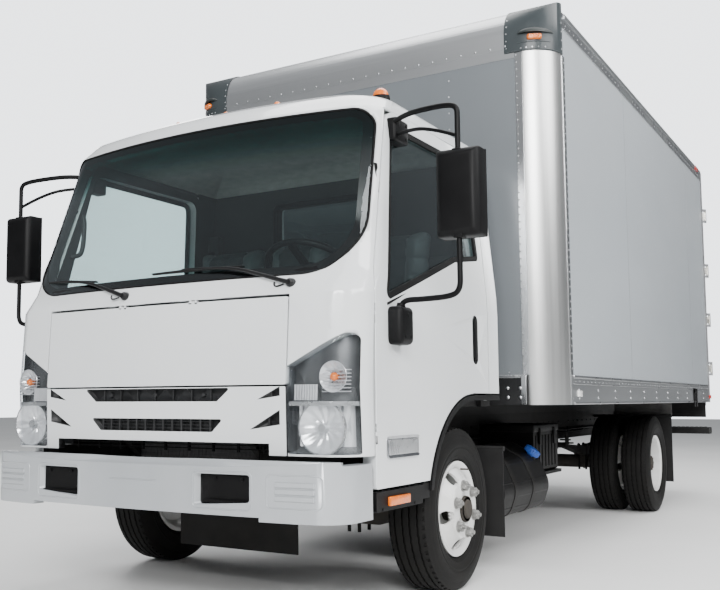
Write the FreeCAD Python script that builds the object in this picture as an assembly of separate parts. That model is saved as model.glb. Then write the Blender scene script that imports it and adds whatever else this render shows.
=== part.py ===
import FreeCAD, Part

import math
import os

# A two-axle cab-over box truck: a tilting cab on a ladder frame, single front wheels,
# twin rear wheels and a panel-sided cargo box with two swing doors at its back.
#
# Lengths are millimetres. X points to the truck's left side, Y to its back, Z up.
# Everything is drawn with Y = 0 at the front axle and Z = 0 on the ground, and save()
# shifts it so that the origin is at the middle of the overall length.

V = FreeCAD.Vector

# ---- driving dimensions ---------------------------------------------------------------
wheelbase = 3810
front_overhang = 1250          # front axle to the bumper's face
rear_overhang = 1795           # rear axle to the back of the step bumper
overall_length = front_overhang + wheelbase + rear_overhang

tyre_radius = 382
tyre_width = 214
rim_width = 178                # over the flanges
flange_radius = 222
bead_radius = 203
wheel_offset = 125             # wheel centre to its mounting face, half the twin spacing
front_track = 1664
rear_track = 1650              # between the middles of the twins
stud_circle = 111              # radius of the six studs
pin_play = 0.05                # radial clearance of every pin and shaft

frame_half = 425               # over the side rails
frame_top = 800
rail_depth = 216
rail_flange = 65
rail_wall = 7

cab_half = 965
cab_wall = 60                  # doors and pillars, whole thickness
door_gap = 7
box_half = 1219
box_front = 700
bumper_reach = 205             # from the box's back to the step bumper's
box_length = wheelbase + rear_overhang - bumper_reach - box_front
box_bottom = 865
box_top = 3052
box_floor_top = 1025
box_panel = 24
step_height = 628              # top of the rear step bumper

door_swing_pin = 42            # cargo hinge pins stand this far behind the doors

box_rear = box_front + box_length
rear_axle_y = wheelbase
front_axle_y = front_overhang - overall_length / 2


# ---- small helpers --------------------------------------------------------------------
def box(x0, x1, y0, y1, z0, z1):
    return Part.makeBox(x1 - x0, y1 - y0, z1 - z0, V(x0, y0, z0))


def rod_x(radius, x0, x1, y, z):
    return Part.makeCylinder(radius, x1 - x0, V(x0, y, z), V(1, 0, 0))


def rod_y(radius, y0, y1, x, z):
    return Part.makeCylinder(radius, y1 - y0, V(x, y0, z), V(0, 1, 0))


def rod_z(radius, z0, z1, x, y):
    return Part.makeCylinder(radius, z1 - z0, V(x, y, z0), V(0, 0, 1))


def rounded_path(corners, closed):
    """Straight runs joined by tangent arcs. Each corner is (point, radius)."""
    count = len(corners)
    edges = []
    joints = []
    for i, (point, radius) in enumerate(corners):
        if not closed and i in (0, count - 1):
            joints.append((point, point))
            continue
        before = (corners[i - 1][0] - point).normalize()
        after = (corners[(i + 1) % count][0] - point).normalize()
        half_angle = before.getAngle(after) / 2
        if radius <= 0 or half_angle > math.pi / 2 - 1e-4:
            joints.append((point, point))
            continue
        reach = radius / math.tan(half_angle)
        start = point + before * reach
        end = point + after * reach
        middle = (before + after).normalize()
        centre = point + middle * (radius / math.sin(half_angle))
        edges.append(Part.Arc(start, centre - middle * radius, end).toShape())
        joints.append((start, end))
    for i in range(count if closed else count - 1):
        run_start = joints[i][1]
        run_end = joints[(i + 1) % count][0]
        if run_start.distanceToPoint(run_end) > 1e-6:
            edges.append(Part.LineSegment(run_start, run_end).toShape())
    return Part.Wire(Part.__sortEdges__(edges))


def plate(axis, start, end, corners):
    """A flat outline with rounded corners, extruded along an axis from start to end.

    Each corner is (u, v) or (u, v, radius), where u, v are (y, z) for axis "x",
    (x, z) for axis "y" and (x, y) for axis "z".
    """
    place = {
        "x": lambda u, v: V(start, u, v),
        "y": lambda u, v: V(u, start, v),
        "z": lambda u, v: V(u, v, start),
    }[axis]
    along = {"x": V(1, 0, 0), "y": V(0, 1, 0), "z": V(0, 0, 1)}[axis]
    points = [(place(c[0], c[1]), c[2] if len(c) > 2 else 0) for c in corners]
    return Part.Face(rounded_path(points, True)).extrude(along * (end - start))


def tube(radius, bend, points):
    """A round bar along straight runs joined by arcs of one bend radius."""
    path = rounded_path([(V(*p), bend) for p in points], False)
    along = V(*points[1]) - V(*points[0])
    circle = Part.Wire(Part.makeCircle(radius, V(*points[0]), along))
    return path.makePipeShell([circle], True, False)


def ring(profile, x, y, z):
    """A profile of (offset along X, radius) points turned about an X axis."""
    points = [V(x + along, y, z + radius) for along, radius in profile]
    points.append(points[0])
    face = Part.Face(Part.makePolygon(points))
    return face.revolve(V(x, y, z), V(1, 0, 0), 360)


def fuse(shapes):
    joined = shapes[0]
    for shape in shapes[1:]:
        joined = joined.fuse(shape)
    return joined.removeSplitter()


def cut(shape, tools):
    for tool in tools:
        shape = shape.cut(tool)
    return shape


def mirrored(shape):
    return shape.mirror(V(0, 0, 0), V(1, 0, 0))


def both_sides(shapes):
    return list(shapes) + [mirrored(s) for s in shapes]


def save(name, shapes):
    """One STEP file per node, moved from the front axle to the origin."""
    solids = [solid for shape in shapes for solid in shape.Solids]
    whole = Part.makeCompound(solids)
    whole.translate(V(0, front_axle_y, 0))
    whole.exportStep("parts/" + name + ".step")


# ---- the cab's outer form -------------------------------------------------------------
# Level sections of the cab from its skirt to its crown. Each is a wide nose arc, two
# corner arcs, straight sides and small rear corners. Inward copies make its inner skins.
# z, nose_y, nose_radius, half_width, corner_radius, rear_y, drop (share of the inset
# by which an inner copy of this section comes down)
cab_sections = [
    (500, -1112, 12000, cab_half - 4, 165, 502, 0.0),
    (950, -1126, 12000, cab_half, 160, 502, 0.0),
    (1322, -1108, 9000, cab_half, 160, 502, 0.0),
    (1420, -1080, 4200, cab_half - 4, 155, 502, 0.0),
    (2150, -848, 3400, cab_half - 70, 160, 486, 0.3),
    (2220, -790, 3200, cab_half - 100, 190, 462, 0.8),
    (2265, -690, 3000, cab_half - 180, 230, 395, 1.0),
    (2290, -520, 3000, cab_half - 330, 250, 235, 1.0),
]
rear_corner_radius = 40
header_z = 2155                # underside of the roof pressing
fascia_bottom = 675


def cab_section(row, inset):
    z, nose_y, nose_radius, half, corner, rear, drop = row
    z = z - inset * drop
    nose_y = nose_y + inset
    half = half - inset
    corner = corner - inset
    rear = rear - inset
    back_r = max(rear_corner_radius - inset, 4)
    nose_radius = nose_radius - inset
    nose_centre = nose_y + nose_radius
    corner_x = half - corner
    reach = nose_radius - corner
    corner_y = nose_centre - math.sqrt(reach ** 2 - corner_x ** 2)
    away = V(corner_x, corner_y - nose_centre, 0) / reach
    tangent = V(0, nose_centre, z) + away * nose_radius
    slant = (away + V(1, 0, 0)).normalize()
    corner_mid = V(corner_x, corner_y, z) + slant * corner
    side_front = V(half, corner_y, z)
    side_back = V(half, rear - back_r, z)
    diagonal = back_r * math.sqrt(0.5)
    back_mid = V(half - back_r + diagonal, rear - back_r + diagonal, z)
    back_end = V(half - back_r, rear, z)

    def flip(p):
        return V(-p.x, p.y, p.z)

    edges = [
        Part.Arc(flip(tangent), V(0, nose_y, z), tangent),
        Part.Arc(tangent, corner_mid, side_front),
        Part.LineSegment(side_front, side_back),
        Part.Arc(side_back, back_mid, back_end),
        Part.LineSegment(back_end, flip(back_end)),
        Part.Arc(flip(back_end), flip(back_mid), flip(side_back)),
        Part.LineSegment(flip(side_back), flip(side_front)),
        Part.Arc(flip(side_front), flip(corner_mid), flip(tangent)),
    ]
    return Part.Wire([edge.toShape() for edge in edges])


def cab_form(inset):
    sections = [cab_section(row, inset) for row in cab_sections]
    return Part.makeLoft(sections, True, True)


def cab_skin(outer, inner):
    return cab_form(outer).cut(cab_form(inner))


# ---- wheels and tyres -----------------------------------------------------------------
hub_bore = 25
hand_hole_count = 5
hand_hole_radius = 31
hand_hole_circle = 160
hand_hole_phase = 62           # degrees above the forward direction
stud_phase = 19
brake_radius = 165


def tyre(x, y):
    half = tyre_width / 2
    crown = tyre_radius
    # offset from the middle plane, radius
    profile = [
        (-76, bead_radius), (76, bead_radius), (77, flange_radius + 2), (92, 236),
        (half - 2, 276), (half, 300), (half - 5, 336), (half - 16, crown - 14),
        (half - 30, crown - 3), (20, crown), (-20, crown), (30 - half, crown - 3),
        (16 - half, crown - 14), (5 - half, 336), (-half, 300), (2 - half, 276),
        (-92, 236), (-77, flange_radius + 2),
    ]
    return ring(profile, x, y, tyre_radius)


def wheel_disc(x, y, side, mount):
    """Rim and disc. side is the outboard direction, mount the mounting face's offset."""
    z = tyre_radius
    half = rim_width / 2
    rim = ring([(-half, flange_radius), (-half, 214), (-78, 191), (78, 191), (half, 214),
                (half, flange_radius), (78, flange_radius), (78, bead_radius),
                (-78, bead_radius), (-78, flange_radius)], x, y, z)
    way = 1 if mount > 0 else -1
    dish = [(40, 192), (58, 184), (100, 140), (wheel_offset - 12, 132), (wheel_offset - 12, 62),
            (wheel_offset, 62), (wheel_offset, 138), (108, 148), (68, 192)]
    disc = ring([(way * side * along, radius) for along, radius in dish], x, y, z)
    holes = []
    for i in range(hand_hole_count):
        angle = math.radians(hand_hole_phase + 360 * i / hand_hole_count)
        holes.append(rod_x(hand_hole_radius, x - 190, x + 190,
                           y - hand_hole_circle * math.cos(angle),
                           z + hand_hole_circle * math.sin(angle)))
    return fuse([rim, cut(disc, holes)])


def stud_nuts(x0, x1, y):
    nuts = []
    for i in range(6):
        angle = math.radians(stud_phase + 60 * i)
        nuts.append(rod_x(19, x0, x1, y - stud_circle * math.cos(angle),
                          tyre_radius + stud_circle * math.sin(angle)))
    return nuts


def front_wheel(side):
    x = side * front_track / 2
    face = x + side * wheel_offset
    bore = rod_x(hub_bore + pin_play, *sorted((x - side * 60, face - side * 20)),
                 0, tyre_radius)
    hub = [
        rod_x(130, *sorted((face - side * 32, face - side * 12)), 0, tyre_radius),
        rod_x(60, *sorted((x - side * 28, face + side * 12)), 0, tyre_radius),
        rod_x(brake_radius, *sorted((x - side * 28, x + side * 30)), 0, tyre_radius),
    ]
    nuts = stud_nuts(*sorted((face - side * 6, face + side * 24)), 0)
    return [fuse([wheel_disc(x, 0, side, 1)] + nuts), cut(fuse(hub), [bore])]


def rear_wheels(side):
    centre = side * rear_track / 2
    outer_x = centre + side * wheel_offset
    inner_x = centre - side * wheel_offset
    y = rear_axle_y
    outer = wheel_disc(outer_x, y, side, -1)
    inner = wheel_disc(inner_x, y, side, 1)
    bore = rod_x(45 + pin_play, *sorted((inner_x - side * 90, outer_x - side * 20)),
                 y, tyre_radius)
    hub = [
        rod_x(60, *sorted((inner_x - side * 60, outer_x + side * 40)), y, tyre_radius),
        rod_x(brake_radius, *sorted((inner_x - side * 60, inner_x + side * 30)), y,
              tyre_radius),
        rod_x(130, *sorted((centre - side * 30, centre - side * 12)), y, tyre_radius),
    ]
    nuts = stud_nuts(*sorted((centre + side * 6, centre + side * 36)), y)
    return [fuse([outer] + nuts), inner, cut(fuse(hub), [bore])]


def make_wheels():
    for side, word in ((1, "left"), (-1, "right")):
        centre = side * rear_track / 2
        save("tyre_front_" + word, [tyre(side * front_track / 2, 0)])
        save("wheel_front_" + word, front_wheel(side))
        save("tyres_rear_" + word, [tyre(centre + side * wheel_offset, rear_axle_y),
                                    tyre(centre - side * wheel_offset, rear_axle_y)])
        save("wheels_rear_" + word, rear_wheels(side))


# ---- front axle, knuckles and springs -------------------------------------------------
kingpin_x = 715
kingpin_radius = 16
boss_low = 352                 # the axle's end boss between the knuckle's two eyes
boss_high = 412
eye_gap = 5
eye_height = 30
spring_x = 392
spring_width = 70
axle_drop = 70                 # the beam hangs this far under its ends
front_spring_half = 590
front_eye_z = 520
rear_spring_x = frame_half + 48
rear_spring_half = 640
rear_eye_z = 540


def make_front_axle():
    beam = plate("y", -38, 38, [
        (-kingpin_x, boss_high), (-kingpin_x, boss_low), (-620, boss_low - 4, 40),
        (-540, boss_low - axle_drop, 60), (540, boss_low - axle_drop, 60),
        (620, boss_low - 4, 40), (kingpin_x, boss_low), (kingpin_x, boss_high),
        (600, boss_high, 60), (520, boss_high - axle_drop, 60),
        (-520, boss_high - axle_drop, 60), (-600, boss_high, 60)])
    low = boss_low - eye_gap - eye_height
    high = boss_high + eye_gap + eye_height
    ends = both_sides([rod_z(38, boss_low, boss_high, kingpin_x, 0),
                       rod_z(kingpin_radius, low, high, kingpin_x, 0)])
    save("front_axle", [fuse([beam] + ends)])


def make_knuckles():
    eye_radius = 34
    web_x0 = kingpin_x + 43
    web_x1 = kingpin_x + 60
    low0 = boss_low - eye_gap - eye_height
    high1 = boss_high + eye_gap + eye_height
    eyes = []
    for z in (low0, boss_high + eye_gap):
        eyes.append(rod_z(eye_radius, z, z + eye_height, kingpin_x, 0))
        eyes.append(box(kingpin_x, web_x1, -eye_radius, eye_radius, z, z + eye_height))
    web = box(web_x0, web_x1, -60, 60, low0, high1)
    spindle = rod_x(hub_bore, web_x0, front_track / 2 + wheel_offset - 21, 0, tyre_radius)
    arm = box(kingpin_x - 12, kingpin_x + 12, 20, 175, low0, low0 + 18)
    bore = rod_z(kingpin_radius + pin_play, low0 - 1, high1 + 1, kingpin_x, 0)
    knuckle = cut(fuse(eyes + [web, spindle, arm]), [bore])
    save("knuckle_left", [knuckle])
    save("knuckle_right", [mirrored(knuckle)])


def leaf_spring(x, y, seat_z, eye_z, half_length, width, leaves):
    """A bowed pack of leaves with an eye at each end and hangers up to the rail."""
    thick = 11 * leaves
    pack = plate("x", x - width / 2, x + width / 2, [
        (y - half_length, eye_z + 8), (y - half_length, eye_z - 8),
        (y - 90, seat_z, 500), (y + 90, seat_z, 500), (y + half_length, eye_z - 8),
        (y + half_length, eye_z + 8), (y + 110, seat_z + thick, 500),
        (y - 110, seat_z + thick, 500)])
    eyes = [rod_x(22, x - width / 2, x + width / 2, y + end * half_length, eye_z)
            for end in (-1, 1)]
    return fuse([pack] + eyes)


def make_springs():
    front_seat = boss_high - axle_drop
    front = leaf_spring(spring_x, 0, front_seat, front_eye_z, front_spring_half,
                        spring_width, 5)
    front_bolts = [rod_z(9, front_seat - 100, front_seat + 75, spring_x + dx, dy)
                   for dx in (-28, 28) for dy in (-52, 52)]
    rear_seat = tyre_radius + 55
    rear = leaf_spring(rear_spring_x, rear_axle_y, rear_seat, rear_eye_z, rear_spring_half,
                       spring_width, 7)
    rear_bolts = [rod_z(9, rear_seat - 120, rear_seat + 95, rear_spring_x + dx,
                        rear_axle_y + dy)
                  for dx in (-28, 28) for dy in (-70, 70)]
    packs = [fuse([front] + front_bolts), fuse([rear] + rear_bolts)]
    save("leaf_springs", both_sides(packs))


# ---- chassis frame and what hangs on it -----------------------------------------------
rail_front = -925
rail_rear = box_rear - 30
tilt_y = -1030                 # the cab's pivot tube
tilt_z = 800
tilt_radius = 18
tilt_arm_x = 372               # outer face of the arms that hold the pivot tube
tilt_arm_width = 34


def make_frame():
    rail = box(frame_half - rail_flange, frame_half, rail_front, rail_rear,
               frame_top - rail_depth, frame_top)
    hollow = box(frame_half - rail_flange - 1, frame_half - rail_wall, rail_front - 1,
                 rail_rear + 1, frame_top - rail_depth + rail_wall, frame_top - rail_wall)
    rail = rail.cut(hollow)
    pieces = both_sides([rail])

    # crossmember stations, height below the rail's top
    reach = frame_half - rail_wall
    for y, low, high in ((-880, 90, 20), (1230, 100, 20), (1700, 150, 30), (2500, 150, 30),
                         (3250, 150, 30), (4420, 150, 30), (rail_rear - 60, 180, 20)):
        pieces.append(box(-reach, reach, y - 35, y + 35, frame_top - low, frame_top - high))

    # arms that carry the cab's pivot tube
    arm = plate("x", tilt_arm_x - tilt_arm_width, tilt_arm_x, [
        (tilt_y - 24, tilt_z + 24, 23), (tilt_y - 24, tilt_z - 24, 23),
        (tilt_y + 60, tilt_z - 30), (rail_front + 120, frame_top - rail_depth + 40),
        (rail_front + 160, frame_top - 10), (rail_front + 60, tilt_z + 24)])
    pivot = fuse(both_sides([cut(arm, pieces)]) + [
        rod_x(tilt_radius, -tilt_arm_x - 70, tilt_arm_x + 70, tilt_y, tilt_z)])
    save("chassis_frame", pieces)
    save("cab_pivot", [pivot])

    # bumper stays under the pivot arms
    stay = plate("x", frame_half - 14, frame_half, [
        (bumper_inner_y, 480), (bumper_inner_y, 590), (rail_front + 10, 632),
        (rail_front + 120, 632), (rail_front + 120, frame_top - rail_depth)])
    brackets = both_sides([stay.cut(bumper_shell()).cut(rail)])

    # brackets down to the spring eyes: station, eye height, spring line
    eyes = []
    for end in (-1, 1):
        eyes.append((end * front_spring_half, front_eye_z, spring_x))
        eyes.append((rear_axle_y + end * rear_spring_half, rear_eye_z, rear_spring_x))
    for y, z, x in eyes:
        saddle = frame_top - rail_depth if x < frame_half else frame_top - 160
        bracket = fuse([
            box(x - 48, x - spring_width / 2 - 0.3, y - 30, y + 30, z - 30, saddle),
            box(x + spring_width / 2 + 0.3, x + 48, y - 30, y + 30, z - 30, saddle),
            box(x - 48, x + 48, y - 30, y + 30, saddle - 22, saddle),
            rod_x(14, x - 48, x + 48, y, z)])
        eye = rod_x(22.3, x - spring_width / 2 - 0.3, x + spring_width / 2 + 0.3, y, z)
        brackets += both_sides([bracket.cut(eye).cut(rail)])
    save("spring_brackets", brackets)


engine_rear = 350


def make_engine():
    block = plate("x", -300, 300, [
        (-700, 560, 60), (-700, 1000, 60), (250, 1000, 60), (engine_rear, 900, 40),
        (engine_rear, 520, 60), (-300, 430, 60), (-560, 430, 60)])
    gearbox = plate("x", -170, 170, [
        (engine_rear, 480, 20), (engine_rear, 820, 20), (900, 760, 60),
        (1120, 700, 40), (1120, 560, 40), (900, 500, 60)])
    mounts = both_sides([box(300, frame_half - rail_wall, -260, -180, 600, 690),
                         box(170, frame_half - rail_wall, 665, 735, 594, 616)])
    save("engine", [block, gearbox] + mounts)


def make_radiator():
    core = box(-330, 330, -822, -760, 470, 818)
    tanks = [box(-345, 345, -830, -752, 818, 845), box(-345, 345, -830, -752, 440, 470)]
    feet = both_sides([box(330, frame_half - rail_wall, -799, -765, 600, 640)])
    save("radiator", [fuse([core] + tanks + feet)])


bumper_half = 958
bumper_low = 430
bumper_top = 660
bumper_thick = 62
bumper_return_y = -930
bumper_return_top = 646
bumper_nose_radius = 7000
bumper_corner = 150
bumper_inner_y = -front_overhang + bumper_thick
pocket_inner = 322
pocket_outer = 578


def bumper_outline(inset):
    nose = -front_overhang + inset
    half = bumper_half - inset
    corner = bumper_corner - inset
    radius = bumper_nose_radius - inset
    centre = nose + radius
    corner_x = half - corner
    corner_y = centre - math.sqrt((radius - corner) ** 2 - corner_x ** 2)
    away = V(corner_x, corner_y - centre, 0) / (radius - corner)
    tangent = V(0, centre, 0) + away * radius
    mid = V(corner_x, corner_y, 0) + (away + V(1, 0, 0)).normalize() * corner
    front = V(half, corner_y, 0)
    back = V(half, bumper_return_y + inset, 0)

    def flip(p):
        return V(-p.x, p.y, p.z)

    edges = [
        Part.Arc(flip(tangent), V(0, nose, 0), tangent).toShape(),
        Part.Arc(tangent, mid, front).toShape(),
        Part.LineSegment(front, back).toShape(),
        Part.LineSegment(back, flip(back)).toShape(),
        Part.LineSegment(flip(back), flip(front)).toShape(),
        Part.Arc(flip(front), flip(mid), flip(tangent)).toShape(),
    ]
    face = Part.Face(Part.Wire(edges))
    face.translate(V(0, 0, bumper_low))
    return face.extrude(V(0, 0, bumper_top - bumper_low))


def bumper_shell():
    shell = bumper_outline(0).cut(bumper_outline(bumper_thick))
    return shell.cut(box(-bumper_half + bumper_thick, bumper_half - bumper_thick,
                         bumper_return_y - 80, bumper_return_y + 1, 0, 1000))


def make_bumper():
    shell = bumper_shell()
    away = [
        box(-620, 620, -1300, -1000, bumper_low - 1, bumper_low + 16),
        box(-1000, 1000, -1128, bumper_return_y + 1, bumper_return_top, bumper_top + 1),
        plate("x", -1000, 1000, [(-1300, 634), (-1240, 634), (-1180, 661), (-1300, 661)]),
    ]
    away += both_sides([
        plate("y", -1300, -1202, [(pocket_inner, 482, 12), (pocket_inner, 606, 12),
                                  (pocket_outer, 606, 12), (pocket_outer, 500, 12)]),
        plate("y", -1300, -1230, [(648, 500, 12), (648, 600, 12), (880, 600, 12),
                                  (880, 500, 12)]),
    ])
    save("front_bumper", [cut(shell, away)])


def make_under_guards():
    guard = box(-345, 345, -506, -500, 185, 424)
    flange = box(-345, 345, -506, -494, 406, 424)
    top = frame_top - rail_depth
    strap = both_sides([box(306, 336, -506, -494, 406, top)])
    ear = both_sides([box(306, frame_half, -506, -460, top - 8, top)])
    save("front_under_guard", [fuse([guard, flange] + strap + ear)])


def make_rear_axle():
    y = rear_axle_y
    z = tyre_radius
    tube_end = rear_track / 2 + wheel_offset - 21
    housing = [
        rod_x(45, -tube_end, tube_end, y, z),
        rod_x(54, -(rear_track / 2 - wheel_offset - 62), rear_track / 2 - wheel_offset - 62, y, z),
        ring([(-150, 60), (-110, 130), (-50, 165), (50, 165), (110, 130), (150, 60), (150, 0),
              (-150, 0)], 0, y, z),
        Part.makeCone(75, 55, 150, V(0, y - 150, z + 10), V(0, -1, 0)),
        rod_y(62, y - 160, y, 0, z + 10),
    ]
    seats = both_sides([box(frame_half + 10, frame_half + 86, y - 58, y + 58, z, z + 55)])
    save("rear_axle", [fuse(housing + seats)])


def make_driveshaft():
    start = V(0, 1120, 630)
    end = V(0, rear_axle_y - 300, tyre_radius + 10)
    along = end - start
    shaft = Part.makeCylinder(42, along.Length, start, along)
    cups = [Part.makeCylinder(58, 40, start, along),
            Part.makeCylinder(58, 40, end - along.normalize() * 40, along)]
    shaft = fuse([shaft] + cups)
    shaft = shaft.cut(box(-100, 100, 900, 1120, 400, 900))
    shaft = shaft.cut(box(-100, 100, end.y, end.y + 90, 200, 700))
    save("driveshaft", [shaft])


def make_exhaust():
    inner_x = -250
    outer_x = -600
    high = 650
    low = 535
    pipe = tube(30, 110, [(inner_x, engine_rear, high), (inner_x, 1000, high),
                          (inner_x - 40, 1950, low), (outer_x, 2120, low),
                          (outer_x, 2260, low)])
    muffler = rod_y(95, 2250, 2850, outer_x, low)
    tail = tube(30, 110, [(outer_x, 2840, low), (outer_x, 3000, low),
                          (outer_x - 160, 3140, low - 10), (outer_x - 420, 3150, low - 20)])
    hanger_y = box_front + 120 + 4 * crossmember_pitch
    hanger = box(outer_x - 12, outer_x + 12, hanger_y - 15, hanger_y + 15, low + 60,
                 frame_top + sill_height)
    save("exhaust", [fuse([pipe, muffler, tail, hanger])])


def make_tanks():
    body = plate("y", 640, 1390, [(450, 250, 40), (450, 600, 30), (700, 640, 60), (860, 560, 90),
                                  (930, 400, 120), (880, 250, 90)])
    tilt = V(0.6, 0.1, 0.79)
    neck = Part.makeCylinder(40, 60, V(810, 1300, 530), tilt)
    cap = Part.makeCylinder(46, 32, V(844, 1306, 575), tilt)
    hanger = [box(frame_half, 470, y, y + 60, 420, 700) for y in (760, 1220)]
    save("fluid_tank", [fuse([body, neck, cap] + hanger)])

    fuel = plate("y", 960, 1980, [(-940, 330, 60), (-940, 720, 60), (-460, 720, 60),
                                  (-460, 330, 60)])
    straps = [box(-946, -frame_half, y, y + 50, 714, 726) for y in (1150, 1700)]
    straps += [box(-458, -frame_half, y, y + 50, 600, 726) for y in (1150, 1700)]
    filler = Part.makeCylinder(50, 60, V(-900, 1400, 690), V(-0.6, 0, 0.8))
    save("fuel_tank", [fuse([fuel, filler] + straps)])

    case = plate("y", 1560, 2050, [(450, 440, 20), (450, 730, 20), (780, 730, 20),
                                   (780, 440, 20)])
    tray = box(frame_half, 800, 1550, 2060, 420, 440)
    lug = box(frame_half, 450, 1600, 2010, 440, 700)
    save("battery_box", [fuse([case, tray, lug])])


def make_mud_flaps():
    front_y = 505
    front = [box(600, 965, front_y, front_y + 6, 190, 640),
             rod_x(13, frame_half, 965, front_y + 19, 640)]
    rear_y = rear_axle_y + 490
    rear = [box(600, 1075, rear_y, rear_y + 6, 200, 760),
            rod_x(13, frame_half, 1075, rear_y + 19, 750)]
    save("mud_flaps", both_sides(front + rear))


def make_step_bumper():
    back = wheelbase + rear_overhang
    low = step_height - 62
    bar = plate("x", -1190, 1190, [(back - 150, low, 14), (back - 150, step_height, 14),
                                   (back, step_height, 26), (back, low, 26)])
    rail = frame_half
    legs = both_sides([plate("x", rail, rail + 14, [
        (box_rear - 380, 620), (box_rear - 380, 780), (box_rear - 60, 780),
        (back - 60, step_height - 10), (back - 60, low + 8), (back - 150, low + 8)])])
    save("step_bumper", [fuse([bar] + legs)])
    save("rear_lamp_plates", both_sides([fuse([
        box(880, 1185, box_rear - 60, box_rear - 54, 725, box_bottom),
        box(frame_half, 1185, box_rear - 54, box_rear - 30, box_bottom - 30, box_bottom)])]))


# ---- the cargo box --------------------------------------------------------------------
corner_radius = 180            # front posts and roof front
roof_front_rise = 36           # the roof front stands this far over the rails
roof_front_z = box_top + roof_front_rise - corner_radius
roof_skirt = 78                # flat skirt under the roof front's curve
cap_reach = 84                 # corner caps cover this much of the roof front
cap_low = roof_front_z - 106
cap_proud = 6
post_wall = 12
crossmember_pitch = 405
sill_height = 82
rail_out = 3                   # rails stand this proud of the side panels
rear_post = 95
header_low = 2860
hinge_heights = (1180, 1640, 2110, 2640)
hinge_x = box_half + 14
hinge_y = box_rear + door_swing_pin
hinge_pin = 7
lug_half = 44
lug_height = 20


def quarter_post(x, y, z0, z1, radius, wall):
    outer = rod_z(radius, z0, z1, x, y)
    inner = rod_z(radius - wall, z0 - 1, z1 + 1, x, y)
    keep = box(x, x + radius + 1, y - radius - 1, y, z0, z1)
    return outer.cut(inner).common(keep)


def make_cargo_floor():
    half = box_half - box_panel
    deck = box(-half, half, box_front + 54, box_rear - rear_post, box_floor_top - 34,
               box_floor_top)
    # its front corners are rounded to sit inside the posts
    x = box_half - corner_radius
    y = box_front + corner_radius
    corner = box(x, box_half, box_front, y, box_bottom, box_floor_top + 1)
    corner = corner.cut(rod_z(corner_radius - post_wall - 0.3, box_bottom, box_floor_top + 1,
                              x, y))
    pieces = [deck]
    y = box_front + 120
    while y < box_rear - 160:
        pieces.append(box(-half, half, y - 22, y + 22, frame_top + sill_height,
                          box_floor_top - 34))
        y += crossmember_pitch
    sills = both_sides([box(frame_half - rail_flange, frame_half, box_front + 60,
                            box_rear - rear_post, frame_top, frame_top + sill_height)])
    pieces = [cut(piece, both_sides([corner])) for piece in pieces]
    save("box_floor", pieces + sills)


def make_front_wall():
    edge = box_half - corner_radius
    wall = box(-edge, edge, box_front, box_front + 40, box_floor_top, roof_front_z)
    sill = box(-edge, edge, box_front - 4, box_front + 50, box_bottom, box_floor_top)
    save("box_front_wall", [fuse([wall, sill])])


def make_box_sides():
    y0 = box_front + corner_radius
    y1 = box_rear - rear_post
    side = box(box_half - box_panel, box_half, y0, y1, box_floor_top, box_top - 88)
    save("box_side_left", [side])
    save("box_side_right", [mirrored(side)])
    low = box(box_half - box_panel, box_half + rail_out, y0, y1, box_bottom, box_floor_top)
    high = fuse([box(box_half - 60, box_half + rail_out, y0, y1, box_top - 28, box_top),
                 box(box_half - box_panel, box_half + rail_out, y0, y1, box_top - 88, box_top)])
    save("box_rails", both_sides([low, high]))


def make_box_roof():
    y0 = box_front + corner_radius
    skin = box(-box_half + 60, box_half - 60, y0, box_rear - rear_post, box_top - 16,
               box_top - 3)
    bows = []
    y = y0 + 300
    while y < box_rear - 200:
        bows.append(box(-box_half + 60, box_half - 60, y - 20, y + 20, box_top - 40, box_top - 16))
        y += 600
    save("box_roof", [skin] + bows)
    edge = box_half - corner_radius - cap_reach + 55
    low = roof_front_z
    bow = rod_x(corner_radius, -edge, edge, y0, low)
    bow = bow.cut(rod_x(corner_radius - 14, -edge - 1, edge + 1, y0, low))
    bow = bow.common(box(-edge, edge, box_front - 1, y0, low, box_top + roof_front_rise))
    lip = box(-edge, edge, y0, y0 + 28, box_top - 3, box_top + roof_front_rise)
    skirt = box(-edge, edge, box_front - 5, box_front, low - roof_skirt, low)
    foot = box(-edge, edge, box_front - 5, box_front + 14, low, low + 6)
    strip = box(-edge, edge, box_front - 3, box_front, low - roof_skirt - 56, low - roof_skirt)
    save("box_roof_front", [fuse([bow, lip, skirt, foot, strip])])


def make_box_corners():
    x = box_half - corner_radius
    y = box_front + corner_radius
    post = quarter_post(x, y, box_bottom, cap_low, corner_radius, post_wall)
    save("box_front_posts", both_sides([post]))

    # each cap closes the corner where post, roof front and side rail meet
    shell = corner_radius + cap_proud
    inner = corner_radius - 8
    z_top = roof_front_z
    start = x - cap_reach
    end = x + shell

    def corner_form(radius):
        """Where the roof front's bow, carried on to the side, meets the post's curve."""
        bow = fuse([rod_x(radius, start, end, y, z_top),
                    box(start, end, y - radius, y, cap_low, z_top)])
        bow = bow.common(box(start, end, y - 400, y, cap_low, z_top + 400))
        post_line = fuse([rod_z(radius, cap_low, z_top + 400, x, y),
                          box(start, x, y - radius, y, cap_low, z_top + 400)])
        return bow.common(post_line)

    hollow = [
        corner_form(inner),
        rod_z(corner_radius + 0.3, cap_low - 1, cap_low + 0.3, x, y),
        rod_x(corner_radius + 0.3, start - 1, start + 55.3, y, z_top),
        box(start - 1, start + 55.3, box_front - 5.3, y, cap_low - 1, z_top + 6.3),
        box(start - 1, x, box_front - 0.3, y, cap_low - 1, z_top),
    ]
    solid = corner_form(shell)
    save("box_corner_caps", both_sides([cut(solid, hollow)]))


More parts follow.
